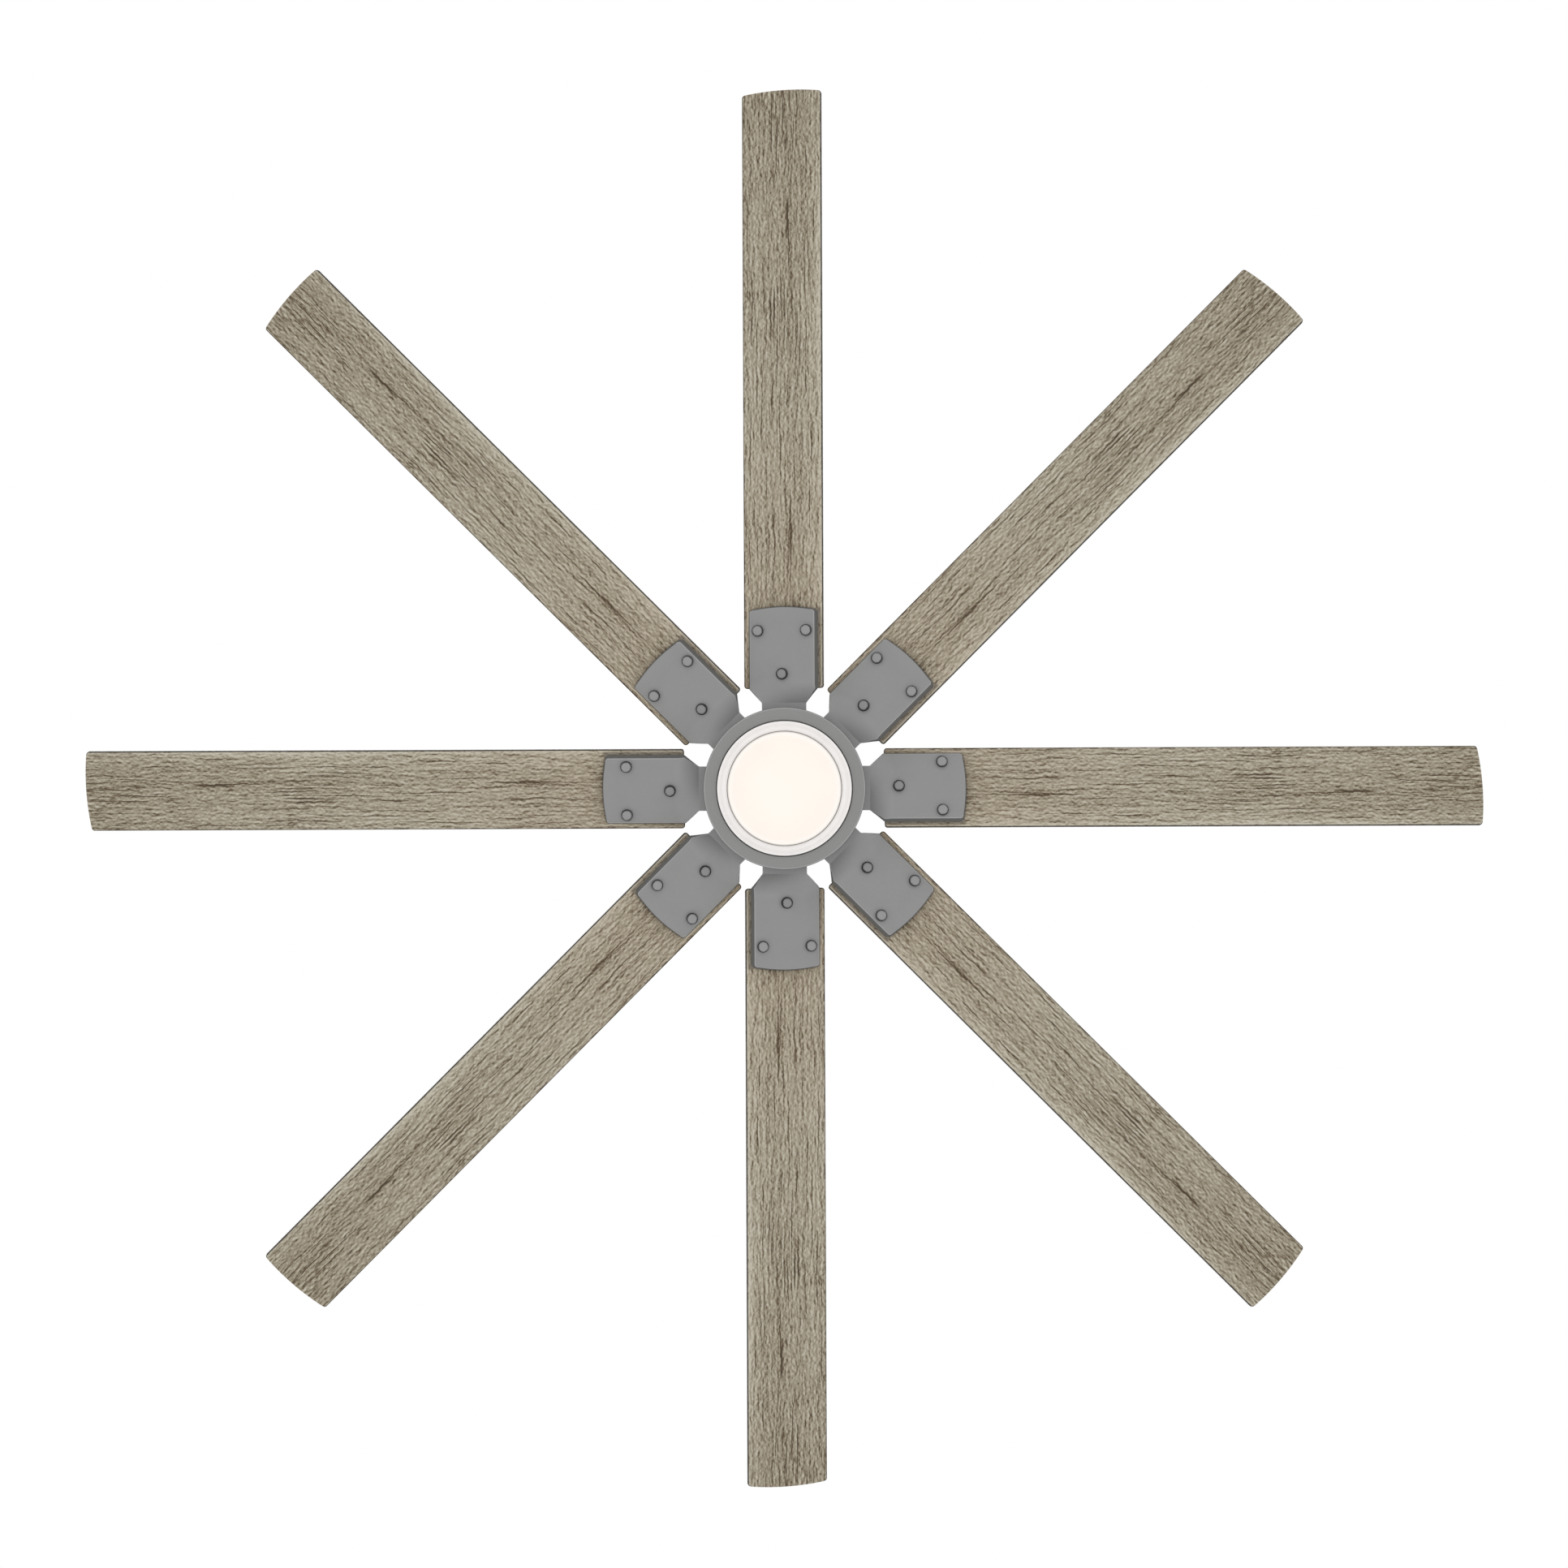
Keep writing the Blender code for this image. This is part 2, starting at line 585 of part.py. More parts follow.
def rotor_can():
    """Cup that turns round the stator, with its magnets bonded inside the wall."""
    seat = BEARING_RADIUS + FIT
    hub = seat + HUB_WALL
    lip = BEARING_RADIUS - HUB_LIP
    plate_top = CAN_PLATE_BOTTOM_Z + CAN_PLATE
    rim = BASE_TOP_Z + FIT
    inner = CAN_RADIUS - CAN_WALL
    can = turned("rotor_can", rounded([
        (CAN_RADIUS, plate_top, CAN_CORNER), (CAN_RADIUS, rim, 0), (inner, rim, 0),
        (inner, CAN_PLATE_BOTTOM_Z, 0), (lip, CAN_PLATE_BOTTOM_Z, 0), (lip, CAN_LIP_Z, 0),
        (seat, CAN_LIP_Z, 0), (seat, CAN_HUB_TOP_Z, 0), (hub, CAN_HUB_TOP_Z, 0), (hub, plate_top, 0)]),
        WIDE_STEPS)
    magnet_half = MAGNET_FACE_RADIUS * math.tan(math.pi / MAGNET_COUNT) * MAGNET_WIDTH_SHARE
    join(can, boxes("magnets", (MAGNET_FACE_RADIUS, -magnet_half, STATOR_BOTTOM_Z),
                    (inner + MAGNET_BITE, magnet_half, CAN_PLATE_BOTTOM_Z - MAGNET_TOP_GAP),
                    turns=even_turns(MAGNET_COUNT)))
    return can


def stator():
    """Toothed core on the shaft, with a coil round each tooth."""
    radius = MAGNET_FACE_RADIUS - AIR_GAP
    shoe = radius - TOOTH_SHOE
    half_tooth = math.pi / TOOTH_COUNT * SHOE_ANGLE_SHARE
    core_radius = radius * STATOR_CORE_SHARE
    root = math.sqrt(core_radius ** 2 - (TOOTH_WIDTH / 2) ** 2)
    coil_inner = core_radius + COIL_CORE_GAP
    coil_half = coil_inner * math.tan(math.pi / TOOTH_COUNT) * COIL_WIDTH_SHARE
    shoe_edge = (shoe * math.cos(half_tooth), shoe * math.sin(half_tooth))
    face_edge = (radius * math.cos(half_tooth), radius * math.sin(half_tooth))
    half = [(root, TOOTH_WIDTH / 2), (shoe - TOOTH_SHOE / 2, TOOTH_WIDTH / 2), shoe_edge, face_edge]
    tooth = [(x, -y) for x, y in half] + [(radius, 0)] + half[::-1]
    outline = []
    for turn in even_turns(TOOTH_COUNT):
        outline += [Matrix.Rotation(turn, 2) @ Vector(point) for point in tooth]
    core = extruded("stator", outline, STATOR_BOTTOM_Z, STATOR_TOP_Z)
    join(core, boxes("coils", (coil_inner, -coil_half, STATOR_BOTTOM_Z - COIL_OVERHANG),
                     (shoe - COIL_SHOE_GAP, coil_half, STATOR_TOP_Z + COIL_OVERHANG),
                     turns=even_turns(TOOTH_COUNT)))
    cut(core, pegs("core_bore", SHAFT_RADIUS + FIT, STATOR_BOTTOM_Z - OVERRUN, STATOR_TOP_Z + OVERRUN,
                   steps=SMALL_STEPS))
    return core


def motor_screw_places(turns):
    """Places of the screws that hold each iron to the rotor base."""
    places = []
    for turn in turns:
        for side in (-1, 1):
            spot = Vector((BASE_RADIUS - MOTOR_SCREW_INSET, side * MOTOR_SCREW_SPACING / 2))
            places.append(Matrix.Rotation(turn, 2) @ spot)
    return places


def rotor_base():
    """Plate that closes the can, carries the lower bearing and takes the irons' screws from below."""
    seat = BEARING_RADIUS + FIT
    hub = seat + HUB_WALL
    lip = BEARING_RADIUS - HUB_LIP
    base = turned("rotor_base", [
        (BASE_RADIUS, BASE_TOP_Z), (BASE_RADIUS, BASE_BOTTOM_Z), (lip, BASE_BOTTOM_Z),
        (lip, BASE_LIP_Z), (seat, BASE_LIP_Z), (seat, BASE_HUB_TOP_Z), (hub, BASE_HUB_TOP_Z),
        (hub, BASE_TOP_Z)], WIDE_STEPS)
    cut(base, pegs("screw_holes", MOTOR_SCREW_SHANK_RADIUS + FIT, BASE_BOTTOM_Z - OVERRUN,
                   BASE_BOTTOM_Z + MOTOR_SCREW_BITE + FIT,
                   motor_screw_places(even_turns(BLADE_COUNT)), STUD_STEPS))
    return base


def blade_screw_places():
    """Places of the three screws on an iron's pad, by the last word of their names."""
    inner = IRON_PAD_START + INNER_SCREW_INSET
    outer = inner + OUTER_SCREW_STEP
    side = IRON_PAD_HALF - OUTER_SCREW_EDGE
    return {"inner": (inner, 0), "left": (outer, -side), "right": (outer, side)}


def blade_mesh():
    """Blade along +X in its own pitched frame, whose XY plane is the blade's middle."""
    half = BLADE_WIDTH / 2
    tip = SPAN / 2
    corners = [(BLADE_ROOT_RADIUS, half, BLADE_CORNER), (BLADE_ROOT_RADIUS, -half, BLADE_CORNER)]
    for share in BLADE_TIP_SHARES:
        y = half * share
        x = tip - BLADE_TIP_CURVE + math.sqrt(BLADE_TIP_CURVE ** 2 - y ** 2)
        corners.append((x, y, BLADE_CORNER if abs(share) == 1 else 0))
    bottom = -BLADE_THICKNESS / 2
    blade = extruded("blade_form", rounded(corners), bottom, -bottom)
    cut(blade, pegs("screw_holes", SCREW_SHANK_RADIUS + FIT, bottom - OVERRUN,
                    bottom + SCREW_BITE + FIT, blade_screw_places().values()))
    return blade


def iron_columns():
    """Shares of the half width across an iron, each with how far the pad's end corner cuts it back."""
    corner_share = IRON_PAD_CORNER / IRON_PAD_HALF
    columns = []
    for angle in (0, math.pi / 2):
        columns.append((1 - corner_share * (1 - math.cos(angle)), IRON_PAD_CORNER * (1 - math.sin(angle))))
    columns.append((IRON_MIDDLE_SHARE, 0))
    return columns + [(0, 0)] + [(-share, drop) for share, drop in columns[::-1]]


def iron_row(radius, half_width, height, pitch, curve=0):
    """One row of points across an iron, with its end curved where a curve is given."""
    turn = Matrix.Translation((0, 0, PITCH_AXIS_Z)) @ Matrix.Rotation(-pitch, 4, "X")
    row = []
    for share, drop in iron_columns():
        y = share * half_width
        x = radius
        if curve:
            x = radius - drop - curve + math.sqrt(curve ** 2 - y ** 2)
        row.append(turn @ Vector((x, y, height)))
    return row


def iron_loft():
    """Iron along +X: a level neck, a twisting ramp, and a pitched pad under the blade."""
    neck_top = -IRON_NECK_DROP
    neck_bottom = neck_top - IRON_NECK_THICKNESS
    pad_top = -BLADE_THICKNESS / 2 - FIT
    pad_bottom = pad_top - IRON_PAD_THICKNESS
    face_half = IRON_PAD_HALF - IRON_PAD_DRAFT
    sections = [
        (iron_row(IRON_ROOT_RADIUS, IRON_NECK_HALF, neck_top, 0),
         iron_row(IRON_ROOT_RADIUS, IRON_NECK_HALF, neck_bottom, 0)),
        (iron_row(IRON_CREASE_RADIUS, IRON_NECK_HALF, neck_top, 0),
         iron_row(IRON_CREASE_RADIUS, IRON_NECK_HALF, neck_bottom, 0)),
        (iron_row(IRON_PAD_START, IRON_PAD_HALF, pad_top, BLADE_PITCH),
         iron_row(IRON_PAD_START, face_half, pad_bottom, BLADE_PITCH)),
        (iron_row(IRON_PAD_END, IRON_PAD_HALF, pad_top, BLADE_PITCH, IRON_END_CURVE),
         iron_row(IRON_PAD_END - IRON_PAD_DRAFT, face_half, pad_bottom, BLADE_PITCH, IRON_END_CURVE))]
    shape = bmesh.new()
    rings = []
    for top, bottom in sections:
        rings.append([shape.verts.new(point) for point in top + bottom[::-1]])
    for ring, after in zip(rings, rings[1:]):
        for index in range(len(ring)):
            last = index - 1
            shape.faces.new((ring[last], ring[index], after[index], after[last]))
    for ring in (rings[0], rings[-1]):
        for index in range(len(ring) // 2 - 1):
            shape.faces.new((ring[index], ring[index + 1], ring[-index - 2], ring[-index - 1]))
    bmesh.ops.recalc_face_normals(shape, faces=shape.faces)
    return from_bmesh("iron_form", shape)


def iron_mesh():
    """Iron with its pad drilled for the blade screws and its two motor screws joined to its neck."""
    iron = iron_loft()
    pad_top = -BLADE_THICKNESS / 2 - FIT
    holes = pegs("pad_holes", SCREW_SHANK_RADIUS + FIT, pad_top - IRON_PAD_THICKNESS - OVERRUN,
                 pad_top + OVERRUN, blade_screw_places().values())
    holes.matrix_world = pitched_frame()
    cut(iron, holes)
    places = motor_screw_places((0,))
    join(iron, pegs("heads", MOTOR_SCREW_HEAD_RADIUS, IRON_BOTTOM_Z - MOTOR_SCREW_HEAD,
                    IRON_BOTTOM_Z + IRON_NECK_THICKNESS / 2, places, STUD_STEPS))
    join(iron, pegs("shanks", MOTOR_SCREW_SHANK_RADIUS, IRON_BOTTOM_Z + IRON_NECK_THICKNESS / 2,
                    BASE_BOTTOM_Z + MOTOR_SCREW_BITE, places, STUD_STEPS))
    return iron


def screw_mesh():
    """Dome-headed screw in the blade's pitched frame, with its head below the iron's pad."""
    seat = -BLADE_THICKNESS / 2 - IRON_PAD_THICKNESS - 2 * FIT
    tip = -BLADE_THICKNESS / 2 + SCREW_BITE
    profile = [(0, tip), (SCREW_SHANK_RADIUS, tip), (SCREW_SHANK_RADIUS, seat)]
    for step in range(SCREW_HEAD_STEPS + 1):
        angle = math.pi / 2 * step / SCREW_HEAD_STEPS
        profile.append((SCREW_HEAD_RADIUS * math.cos(angle), seat - SCREW_HEAD_HEIGHT * math.sin(angle)))
    profile[-1] = (0, seat - SCREW_HEAD_HEIGHT)
    return turned("screw_form", profile, PIN_STEPS, closed=False)


def pitched_frame(turn=0):
    """Where a blade's own frame lies when the blade points along the given turn."""
    place = Matrix.Translation((0, 0, PITCH_AXIS_Z)) @ Matrix.Rotation(-BLADE_PITCH, 4, "X")
    return Matrix.Rotation(turn, 4, "Z") @ place


def blade_set():
    """All blades, irons and blade screws, as copies that share their meshes."""
    blade = blade_mesh()
    iron = iron_mesh()
    screw = screw_mesh()
    pieces = []
    for number, turn in enumerate(even_turns(BLADE_COUNT), start=1):
        frame = pitched_frame(turn)
        copies = [("blade", blade, frame, "wood_print"),
                  ("blade_iron", iron, Matrix.Rotation(turn, 4, "Z"), "grey_paint")]
        for name, (x, y) in blade_screw_places().items():
            copies.append(("screw_" + name, screw, frame @ Matrix.Translation((x, y, 0)), "grey_paint"))
        for kind, master, place, finish in copies:
            copy = bpy.data.objects.new(copy_name(kind, number), master.data)
            copy.matrix_world = place
            pieces.append((copy, finish))
    for master in (blade, iron, screw):
        bpy.data.objects.remove(master)
    for copy, finish in pieces:
        bpy.context.scene.collection.objects.link(copy)
    return pieces


def copy_name(kind, number):
    if kind.startswith("screw_"):
        return f"blade_{number}_{kind}"
    return f"{kind}_{number}"


def light_pan():
    """Dish on the shaft's end, with a rabbet in its lower face for the trim ring."""
    line = rounded([
        (SHAFT_RADIUS + FIT, PAN_TOP_Z, 0), (PAN_RADIUS, PAN_TOP_Z, PAN_TOP_CORNER),
        (PAN_RADIUS, PAN_BOTTOM_Z, PAN_BOTTOM_CORNER), (PAN_RABBET_RADIUS, PAN_BOTTOM_Z, 0),
        (PAN_RABBET_RADIUS, PAN_LEDGE_Z, 0), (PAN_RABBET_RADIUS - PAN_LEDGE, PAN_LEDGE_Z, 0)])
    return turned("light_pan", line, WIDE_STEPS, closed=False, wall=PAN_WALL)


def led_board():
    """Ring-shaped board under the pan's top, with a ring of lamps on its lower face."""
    top = PAN_TOP_Z - PAN_WALL - FIT
    bottom = top - BOARD_THICKNESS
    inner = SHAFT_NUT_RADIUS + BOARD_HOLE_GAP
    board = turned("led_board", [(BOARD_RADIUS, top), (BOARD_RADIUS, bottom), (inner, bottom),
                                 (inner, top)], WIDE_STEPS)
    ring = BOARD_RADIUS - LAMP_RING_INSET
    join(board, boxes("lamps", (ring - LAMP_SIZE / 2, -LAMP_SIZE / 2, bottom - LAMP_HEIGHT),
                      (ring + LAMP_SIZE / 2, LAMP_SIZE / 2, bottom + BOARD_THICKNESS / 2),
                      turns=even_turns(LAMP_COUNT)))
    return board


def trim_ring():
    """Ring in the pan's rabbet that holds the lens up by its flange."""
    top = PAN_LEDGE_Z - FIT
    bottom = PAN_BOTTOM_Z - TRIM_PROUD
    ledge = TRIM_RADIUS - TRIM_LEDGE_WALL
    ledge_z = top - LENS_FLANGE - FIT
    return turned("trim_ring", [
        (TRIM_RADIUS, top), (TRIM_RADIUS, bottom + TRIM_BEVEL), (TRIM_RADIUS - TRIM_BEVEL, bottom),
        (TRIM_FACE_RADIUS, bottom + TRIM_FACE_DIP), (TRIM_HOLE_RADIUS, bottom + TRIM_INNER_DIP),
        (TRIM_HOLE_RADIUS, ledge_z), (ledge, ledge_z), (ledge, top)], WIDE_STEPS)


def lens():
    """Domed cover of the lamp, with a flange that lies on the trim ring's ledge."""
    top = PAN_LEDGE_Z - FIT
    flange_radius = TRIM_RADIUS - TRIM_LEDGE_WALL - FIT
    flange_bottom = top - LENS_FLANGE
    radius = TRIM_HOLE_RADIUS - LENS_GAP
    rim = flange_bottom - LENS_RIM_DROP
    profile = dome_line(radius - LENS_WALL, rim + LENS_WALL, LENS_DOME)[::-1]
    profile += [(radius - LENS_WALL, top), (flange_radius, top), (flange_radius, flange_bottom),
                (radius, flange_bottom)]
    profile += dome_line(radius, rim, LENS_DOME)
    return turned("lens", profile, WIDE_STEPS, closed=False)


def dome_line(radius, rim, depth):
    """Points from a dome's rim down to its middle, on an arc of the given depth."""
    curve = (radius ** 2 + depth ** 2) / (2 * depth)
    line = []
    for step in range(LENS_STEPS + 1):
        place = radius * (1 - step / LENS_STEPS)
        line.append((place, rim - depth + curve - math.sqrt(curve ** 2 - place ** 2)))
    return line


def finish_material(name):
    colour, roughness, metallic = FINISHES[name]
    material = bpy.data.materials.new(name)
    material.use_nodes = True
    shader = material.node_tree.nodes["Principled BSDF"]
    shader.inputs["Base Color"].default_value = (*colour, 1)
    shader.inputs["Roughness"].default_value = roughness
    shader.inputs["Metallic"].default_value = metallic
    return material


def dress(obj, material):
    """Give an object its material and smooth its round faces."""
    obj.data.materials.clear()
    obj.data.materials.append(material)
    obj.data.shade_smooth()
    obj.data.set_sharp_from_angle(angle=SMOOTH_ANGLE)


def joint_empty(name, height, parent, collection):
    """Empty on the fan's axis that a moving body's pieces are parented to."""
    empty = bpy.data.objects.new(name, None)
    collection.objects.link(empty)
    empty.location = (0, 0, height)
    bpy.context.view_layer.update()
    if parent:
        attach(empty, parent)
    return empty


def attach(obj, parent):
    place = obj.matrix_world.copy()
    obj.parent = parent
    obj.matrix_parent_inverse = parent.matrix_world.inverted()
    obj.matrix_world = place


def main():
    clear_scene()
    collection = bpy.data.collections.new("ceiling_fan")
    bpy.context.scene.collection.children.link(collection)
    seat_axis = joint_empty("seat_roll_axis", BALL_Z, None, collection)
    ball_axis = joint_empty("ball_pitch_axis", BALL_Z, seat_axis, collection)
    spin_axis = joint_empty("fan_spin_axis", PITCH_AXIS_Z, ball_axis, collection)

    pieces = [(hanger_bracket(), "zinc_steel", None), (canopy(), "grey_paint", None),
              (ball_seat(), "black_plastic", seat_axis)]
    drop = [(hanger_ball(), "black_plastic"), (ball_pin(), "zinc_steel"), (downrod(), "grey_paint"),
            (yoke(), "zinc_steel"), (yoke_pin(), "zinc_steel"), (yoke_cover(), "grey_paint"),
            (motor_housing(), "grey_paint"), (motor_shaft(), "bearing_steel"),
            (bearing("upper_bearing", CAN_HUB_TOP_Z), "bearing_steel"),
            (bearing("lower_bearing", BASE_HUB_TOP_Z), "bearing_steel"), (stator(), "core_steel"),
            (light_pan(), "grey_paint"), (led_board(), "board_white"), (trim_ring(), "trim_white"),
            (lens(), "opal")]
    rotor = [(rotor_can(), "cast_grey"), (rotor_base(), "cast_grey")] + blade_set()
    pieces += [(obj, finish, ball_axis) for obj, finish in drop]
    pieces += [(obj, finish, spin_axis) for obj, finish in rotor]

    materials = {name: finish_material(name) for name in FINISHES}
    for obj, finish, axis in pieces:
        bpy.context.scene.collection.objects.unlink(obj)
        collection.objects.link(obj)
        dress(obj, materials[finish])
    bpy.context.view_layer.update()
    for obj, finish, axis in pieces:
        if axis:
            attach(obj, axis)


main()
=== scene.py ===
import math

import bmesh
import bpy
from mathutils import Matrix, Vector

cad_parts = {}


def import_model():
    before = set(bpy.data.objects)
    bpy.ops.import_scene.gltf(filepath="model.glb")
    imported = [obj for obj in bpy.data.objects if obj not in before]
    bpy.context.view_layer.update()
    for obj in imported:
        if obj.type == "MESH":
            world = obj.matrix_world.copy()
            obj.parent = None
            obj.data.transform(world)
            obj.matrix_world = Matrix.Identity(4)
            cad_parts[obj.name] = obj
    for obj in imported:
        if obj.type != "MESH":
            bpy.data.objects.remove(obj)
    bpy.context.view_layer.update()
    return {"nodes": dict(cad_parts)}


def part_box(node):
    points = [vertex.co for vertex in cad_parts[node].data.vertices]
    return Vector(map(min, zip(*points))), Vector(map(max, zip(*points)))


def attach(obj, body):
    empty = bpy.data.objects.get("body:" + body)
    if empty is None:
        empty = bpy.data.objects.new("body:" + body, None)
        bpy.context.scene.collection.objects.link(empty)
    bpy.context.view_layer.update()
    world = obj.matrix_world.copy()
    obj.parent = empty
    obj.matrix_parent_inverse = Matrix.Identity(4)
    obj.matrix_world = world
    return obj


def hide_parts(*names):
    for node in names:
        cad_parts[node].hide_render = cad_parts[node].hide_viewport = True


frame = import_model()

# Facets of the fine surfaces
WIDE_STEPS = 160
ROUND_STEPS = 80
SMALL_STEPS = 40
STUD_STEPS = 24
ARC_STEPS = 8
SHELL_ARC_STEPS = 16
EDGE_STEPS = 3
SMOOTH_ANGLE = math.radians(32)

# Lengths too short to count, and how far a cut runs past what it cuts
HAIR = 0.00001
SNAP = 2 * HAIR
OVERRUN = 0.003

# Heights of a face's normal that part the flat faces, the edges and the sides; on the irons and the pan,
# edges get painted highlight and sides painted shade
FLAT_NORMAL = 0.98
IRON_SIDE_NORMAL = 0.4
PAN_SIDE_NORMAL = 0.72
PAN_WALL_NORMAL = 0.02

# Fits, and the sizes that each fine piece shares with its solid, in metres
FIT = 0.0003
SWING_FIT = 0.0006
BLADE_COUNT = 8
TIP_RADIUS = 0.8382
BLADE_ROOT = 0.120
BLADE_WIDTH = 0.0973
BLADE_THICKNESS = 0.0055
BLADE_CORNER = 0.0035
BLADE_TIP_CORNER_SHARE = 0.99
BLADE_EDGE = 0.0009
BLADE_TIP_CURVE = 0.330
BLADE_TIP_STEPS = 24
BLADE_PITCH = math.radians(13)
PITCH_AXIS_Z = -0.250

IRON_ROOT = 0.0665
IRON_CREASE = 0.1027
IRON_PAD_START = 0.1193
IRON_RAMP_END = 0.1285
IRON_PAD_END = 0.2185
IRON_NECK_HALF = 0.02665
IRON_PAD_HALF = 0.0424
IRON_NECK_TOP = -0.0025
IRON_NECK_THICKNESS = 0.0045
IRON_PAD_TOP = -BLADE_THICKNESS / 2 - FIT
IRON_PAD_THICKNESS = 0.0075
IRON_DRAFT = 0.0027
IRON_END_DRAFT = 0.0016
IRON_END_DRAFT_LENGTH = 0.012
IRON_END_EASE_SHARE = 0.3
IRON_CREASE_CORNER = 0.004
IRON_FLARE_CORNER = 0.003
IRON_CORNER = 0.004
IRON_CORNER_STEPS = 5
IRON_END_CURVE = 0.200
IRON_END_STEPS = 16
IRON_EDGE = 0.0008

# Cuts that let an iron's faces bend: about its crease, up its ramp, at its end and lengthways
CREASE_LEAD = 0.0003
CREASE_TAIL = 0.0004
RAMP_CUT_STEP = 0.0013
RAMP_CUTS = 20
END_CUTS = 4
LENGTHWAYS_CUT_STEP = 0.0075
LENGTHWAYS_CUTS = 5

MOTOR_SCREW_PLACES = ((0.078, -0.014), (0.078, 0.014))
MOTOR_SCREW_RADIUS = 0.0042
MOTOR_SCREW_CROWN_SHARE = 0.9
MOTOR_SCREW_HEIGHT = 0.002

SCREW_PLACES = {"inner": (0.1371, 0), "left": (0.189, -0.0296), "right": (0.189, 0.0296)}
SCREW_HEAD_RADIUS = 0.00695
SCREW_HEAD_HEIGHT = 0.003
SCREW_HEAD_SIDE = 0.0018
SCREW_DOME_POWER = 0.8
SCREW_DOME_STEPS = 14
SCREW_SHANK_RADIUS = 0.0024
SCREW_TIP = 0.00145

ROD_RADIUS = 0.01335
ROD_WALL = 0.00245
BALL_Z = -0.034
BALL_RADIUS = 0.027
BALL_TOP = 0.014
BALL_FOOT = 0.002
BALL_STEPS = 24
BALL_PIN_Z = -0.028
PIN_HOLE_RADIUS = 0.0033
SEAT_WALL = 0.003
SEAT_ANGLE = math.pi / 4
SEAT_STEPS = 16
BRACKET_EDGE = 0.0006
BRACKET_EDGE_STEPS = 2
BRACKET_SHARP_ANGLE = math.radians(50)
BRACKET_FLAT_ANGLE = math.radians(1)
CANOPY_RADIUS = 0.075
CANOPY_WALL = 0.0015
CANOPY_CORNER = 0.022
CANOPY_HOLE_RADIUS = 0.024
CANOPY_SCREW_Z = -0.011
CANOPY_SCREW_RADIUS = 0.0042
CANOPY_SCREW_HEIGHT = 0.0022
CANOPY_SCREW_SHANK = 0.003
CANOPY_SCREW_SHANK_RADIUS = 0.0018
CANOPY_SCREW_SINK = 0.00002
RECESS_LENGTH = 0.005
RECESS_WIDTH = 0.0008
RECESS_DEPTH = 0.0013

COVER_WALL = 0.0012
COVER_NECK_RADIUS = 0.0225
COVER_NECK_CORNER = 0.003
COVER_WAIST_RADIUS = 0.0245
COVER_WAIST_RISE = 0.023
COVER_WAIST_CORNER = 0.008
COVER_RADIUS = 0.042
COVER_RIM_RISE = 0.009
COVER_RIM_CORNER = 0.004
HOUSING_RADIUS = 0.094
HOUSING_WALL = 0.002
HOUSING_CORNER = 0.016
HOUSING_HOLE_RADIUS = 0.012
PAN_RADIUS = 0.0955
PAN_WALL = 0.0015
PAN_TOP_CORNER = 0.006
PAN_BOTTOM_CORNER = 0.0018
PAN_RABBET_RADIUS = 0.0806
PAN_RABBET_DEPTH = 0.005
PAN_RABBET_CORNER = 0.0006
PAN_LEDGE = 0.0086
PAN_HOLE_RADIUS = 0.0093

TRIM_RADIUS = 0.0792
TRIM_BEVEL = 0.0005
TRIM_BAND_RADIUS = 0.0770
TRIM_BAND_CORNER = 0.001
TRIM_GROOVE_RADIUS = 0.0753
TRIM_GROOVE = 0.0010
TRIM_GROOVE_CORNER = 0.002
TRIM_SWELL_RADIUS = 0.0732
TRIM_SWELL_CORNER = 0.003
TRIM_LIP_RADIUS = 0.0696
TRIM_LIP_RISE = 0.0001
TRIM_LIP_CORNER = 0.002
TRIM_HOLE_RADIUS = 0.0677
TRIM_HOLE_RISE = 0.0012
TRIM_HOLE_CORNER = 0.0009
TRIM_LEDGE_RADIUS = 0.0743
LENS_RADIUS = 0.0672
LENS_FLANGE_RADIUS = 0.0740
LENS_FLANGE = 0.003
LENS_WALL = 0.002
LENS_DOME = 0.0065
LENS_SHOULDER = 0.0016
LENS_SHOULDER_DROP_SHARE = 0.8
LENS_SHOULDER_STEPS = 6
LENS_CROWN_STEPS = 16
LENS_RIM_DROP = 0.003

# Waves or crystals in a metre, along each axis, of what gives a finish its clouds and its skin
CLOUD_WAVES = (28, 28, 28)
SPECK_WAVES = (900, 900, 900)
PEEL_WAVES = (1100, 1100, 1100)
SCREW_WAVES = (500, 500, 500)
TRIM_CLOUD_WAVES = (40, 40, 40)
TRIM_SKIN_WAVES = (1500, 1500, 1500)
LENS_CLOUD_WAVES = (22, 22, 22)
LENS_SKIN_WAVES = (700, 700, 700)
CRYSTAL_WAVES = (240, 240, 240)
ROLLING_WAVES = (60, 900, 60)
CAST_CLOUD_WAVES = (60, 60, 60)
CAST_SKIN_WAVES = (700, 700, 700)
MOULDED_WAVES = (1300, 1300, 1300)

# The core's sheets and windings, and where they meet
SHEET_SCALE = 320
WIRE_SCALE = 190
WIRE_DISTORTION = 1.5
CORE_HALF = 0.0080
CORE_SEAM = 0.0002
STEEL_TONES = ((0.14, 0.135, 0.13), (0.30, 0.29, 0.28))
COPPER_TONES = ((0.30, 0.10, 0.04), (0.72, 0.30, 0.13))

# The irons' painted light and shade by the distance from the axis: lighter over the ramp, darker towards the
# pad's end
IRON_PAINTED_LIGHT = ((0.100, 1.0), (0.104, 1.03), (0.116, 1.085), (0.129, 1.07), (0.135, 1.02), (0.148, 1.0),
              (0.160, 0.98), (0.186, 0.97), (0.198, 0.945), (0.219, 0.955))

# Screw heads: where their painted shade begins and how far its bounds stray, and the seam's painted shade by
# the foot's
SCREW_CROWN_RADIUS = 0.0042
SCREW_STRAY = 0.0003
SCREW_SHOULDER_SHARE = 0.4
SCREW_FOOT_SHARE = 0.65
SCREW_SEAM_SHARE = 0.3

# How much of their colour dull metals keep
ZINC_DULL_SHARE = 0.82
CAST_DULL_SHARE = 0.75

